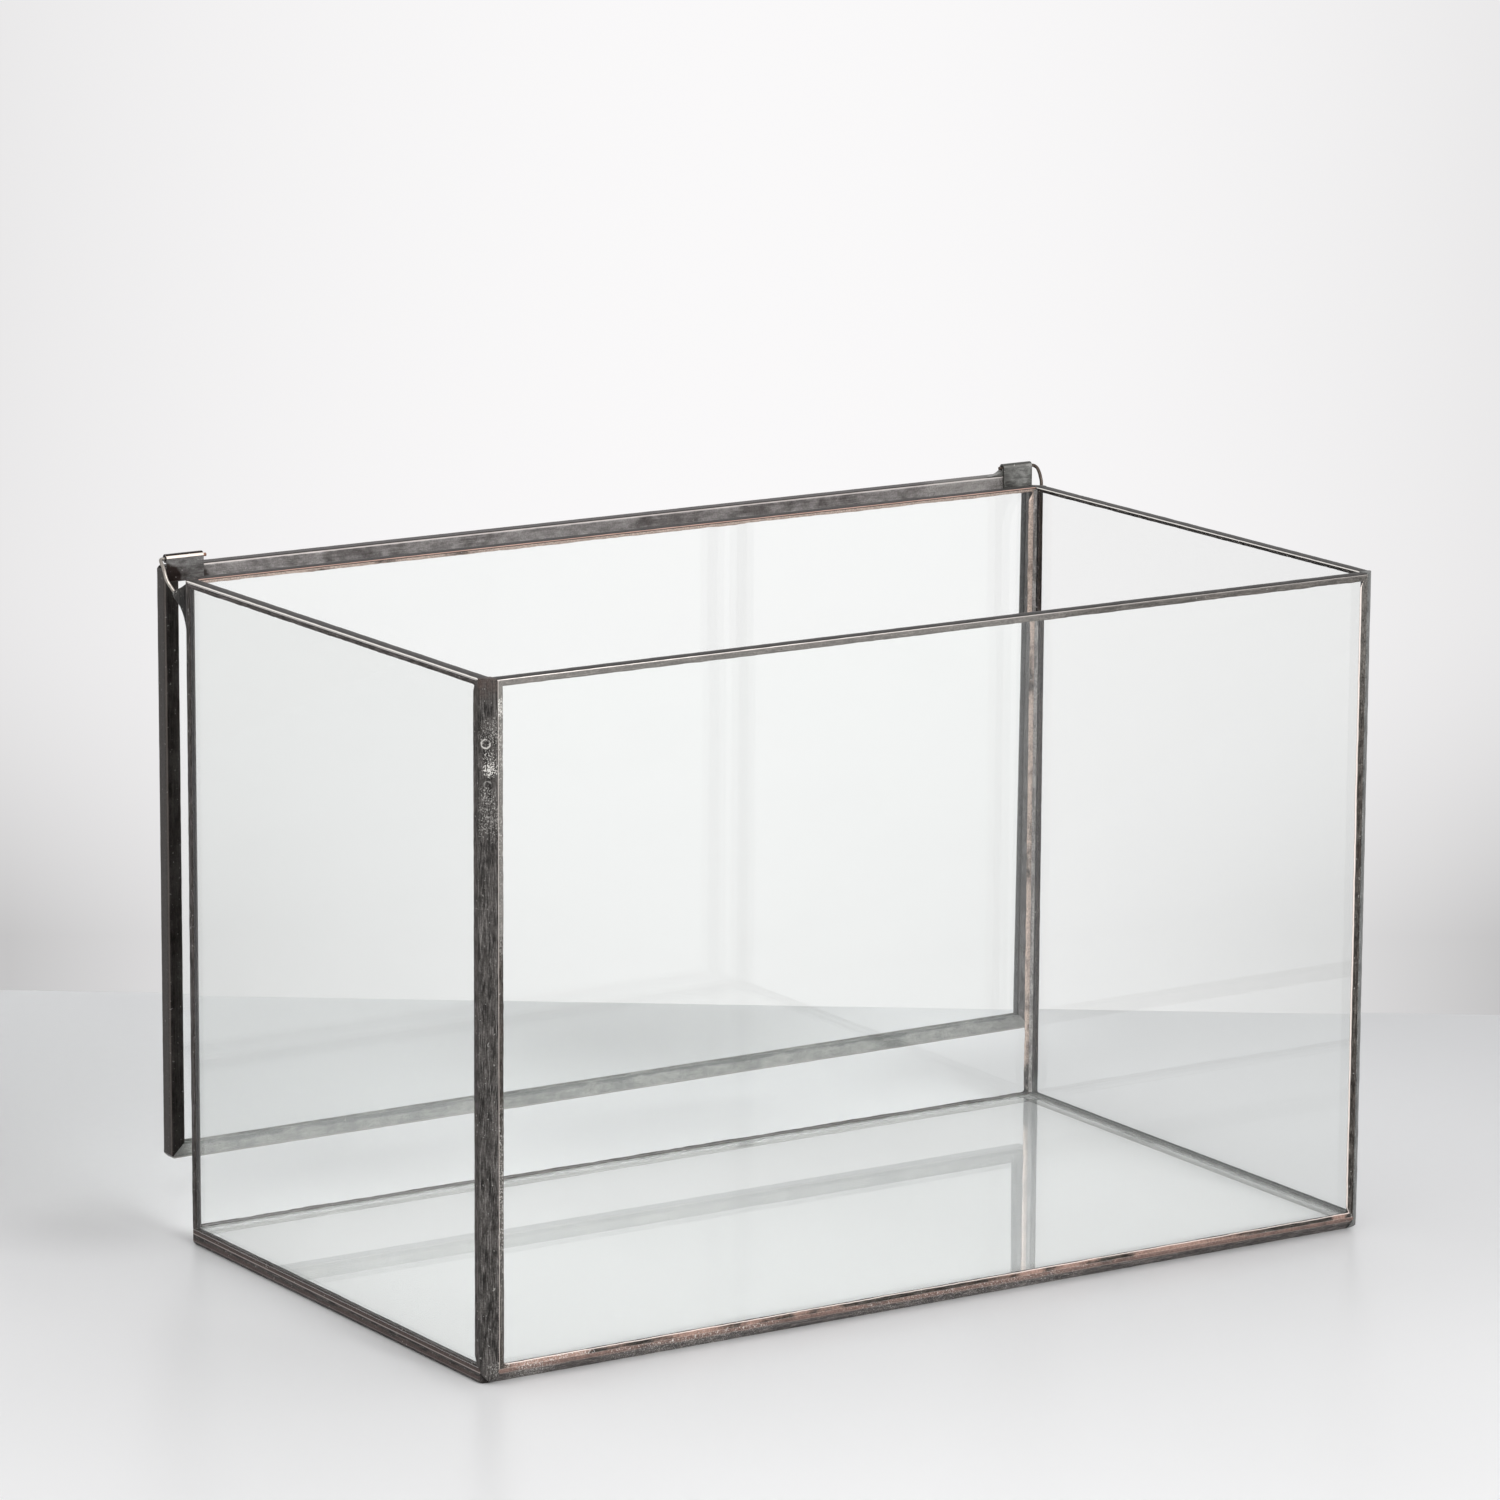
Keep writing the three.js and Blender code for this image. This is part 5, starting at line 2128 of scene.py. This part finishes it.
        # Soft painted patches of shadow and light on the table.
        for place, reach, change in self.painted_table_light_and_shadow:
            near_by = 1.0 - bench.away(at, (*place, 0.0)).rise(0.0, reach)
            colour = bench.toned(colour, near_by * change + 1.0)
        rough = bench.noise(at, TABLE_GRAIN) * self.table_rough[1] + self.table_rough[0]
        specular = self.table_specular
        sockets = {"Base Color": colour, "Roughness": rough, "Specular IOR Level": specular}
        shader = bench.node("ShaderNodeBsdfPrincipled", None, sockets)
        bench.close("ShaderNodeOutputMaterial", "Surface", shader)
        left, right = point - along * self.table_side, point + along * self.table_side
        down = near * self.table_depth
        self.sheet("table", [left, left + down, right + down, right], made)

    def add_backdrop(self) -> None:
        """A pale backdrop with painted shade towards its lower corners."""
        right, up, back = self.turn().col
        ahead = -back
        point, along, near = self.table_edge()
        foot = point - near * self.backdrop_away
        reach = (foot - Vector(self.eye)).dot(near) / ahead.dot(near)
        middle = Vector(self.eye) + ahead * reach
        half = reach * (self.sensor / 2) / self.lens
        made = bpy.data.materials.new("pale_backdrop")
        bench = cleared(made)
        off = bench.vector("SUBTRACT", bench.object_place(), tuple(middle))
        u = bench.vector("DOT_PRODUCT", off, tuple(right / half), "Value")
        v = bench.vector("DOT_PRODUCT", off, tuple(up / half), "Value")
        low = (self.shade_top - v).high(0.0).low(self.shade_height)
        side = (u * u).low(1.0) * (low * low * self.corner_shade[1] + self.corner_shade[0])
        tone = (1.0 - side) * (1.0 - low * low * self.foot_shade)
        white = bench.blend(tone, (0.0, 0.0, 0.0), self.backdrop_tone)
        paint = bench.node("ShaderNodeBsdfDiffuse", None, {"Color": rgba(self.backdrop_paint)})
        glow = bench.node("ShaderNodeEmission", None, {"Color": white, "Strength": 1.0})
        mixed = bench.node("ShaderNodeMixShader", None, {0: seen_rays(bench), 1: paint, 2: glow})
        bench.close("ShaderNodeOutputMaterial", "Surface", mixed)
        start = foot - along * self.backdrop_sides[0]
        end = foot + along * self.backdrop_sides[1]
        rise = Vector((0.0, 0.0, self.backdrop_height))
        self.sheet("backdrop", [start - rise, end - rise, end + rise, start + rise], made)

    def add_light(self) -> None:
        """Even light all round and a soft key from the front."""
        world = bpy.data.worlds.new("studio")
        bench = cleared(world)
        tone = bench.blend(seen_rays(bench), (self.ambient,) * 3, self.world_tone)
        glow = bench.node("ShaderNodeBackground", None, {"Color": tone, "Strength": 1.0})
        bench.close("ShaderNodeOutputWorld", "Surface", glow)
        bpy.context.scene.world = world
        lamp = bpy.data.lights.new("key", "AREA")
        lamp.shape = "DISK"
        lamp.size = self.key_size
        lamp.energy = self.key_power
        key = bpy.data.objects.new("key", lamp)
        place = Vector(self.key_place)
        aim = (Vector(self.key_aim) - place).to_track_quat("-Z", "Y")
        key.matrix_world = Matrix.Translation(place) @ aim.to_matrix().to_4x4()
        bpy.context.scene.collection.objects.link(key)


def seen_rays(bench: Bench) -> Value:
    """1 for rays that show the background: straight, mirrored or through glass.

    Args:
        bench: The bench of the tree.

    Returns:
        0 or 1.
    """
    rays = bench.tree.nodes.new("ShaderNodeLightPath")
    names = ("Is Camera Ray", "Is Glossy Ray", "Is Transmission Ray")
    camera, glossy, through = (Value(bench, rays.outputs[name]) for name in names)
    return camera.high(glossy).high(through)


def main() -> None:
    """Builds the studio and the object's sub-assemblies in order."""
    logging.basicConfig(level=logging.INFO, format="%(name)s: %(message)s")
    Studio().build()
    shop = Workshop()
    shell = Shell.measured()
    Glazing(shop).build()
    FoilWraps(shop).build()
    SolderSeams(shop, shell).build()
    Lid(shop).build()
    Hinges(shop, shell).build()


if __name__ == "__main__":
    main()
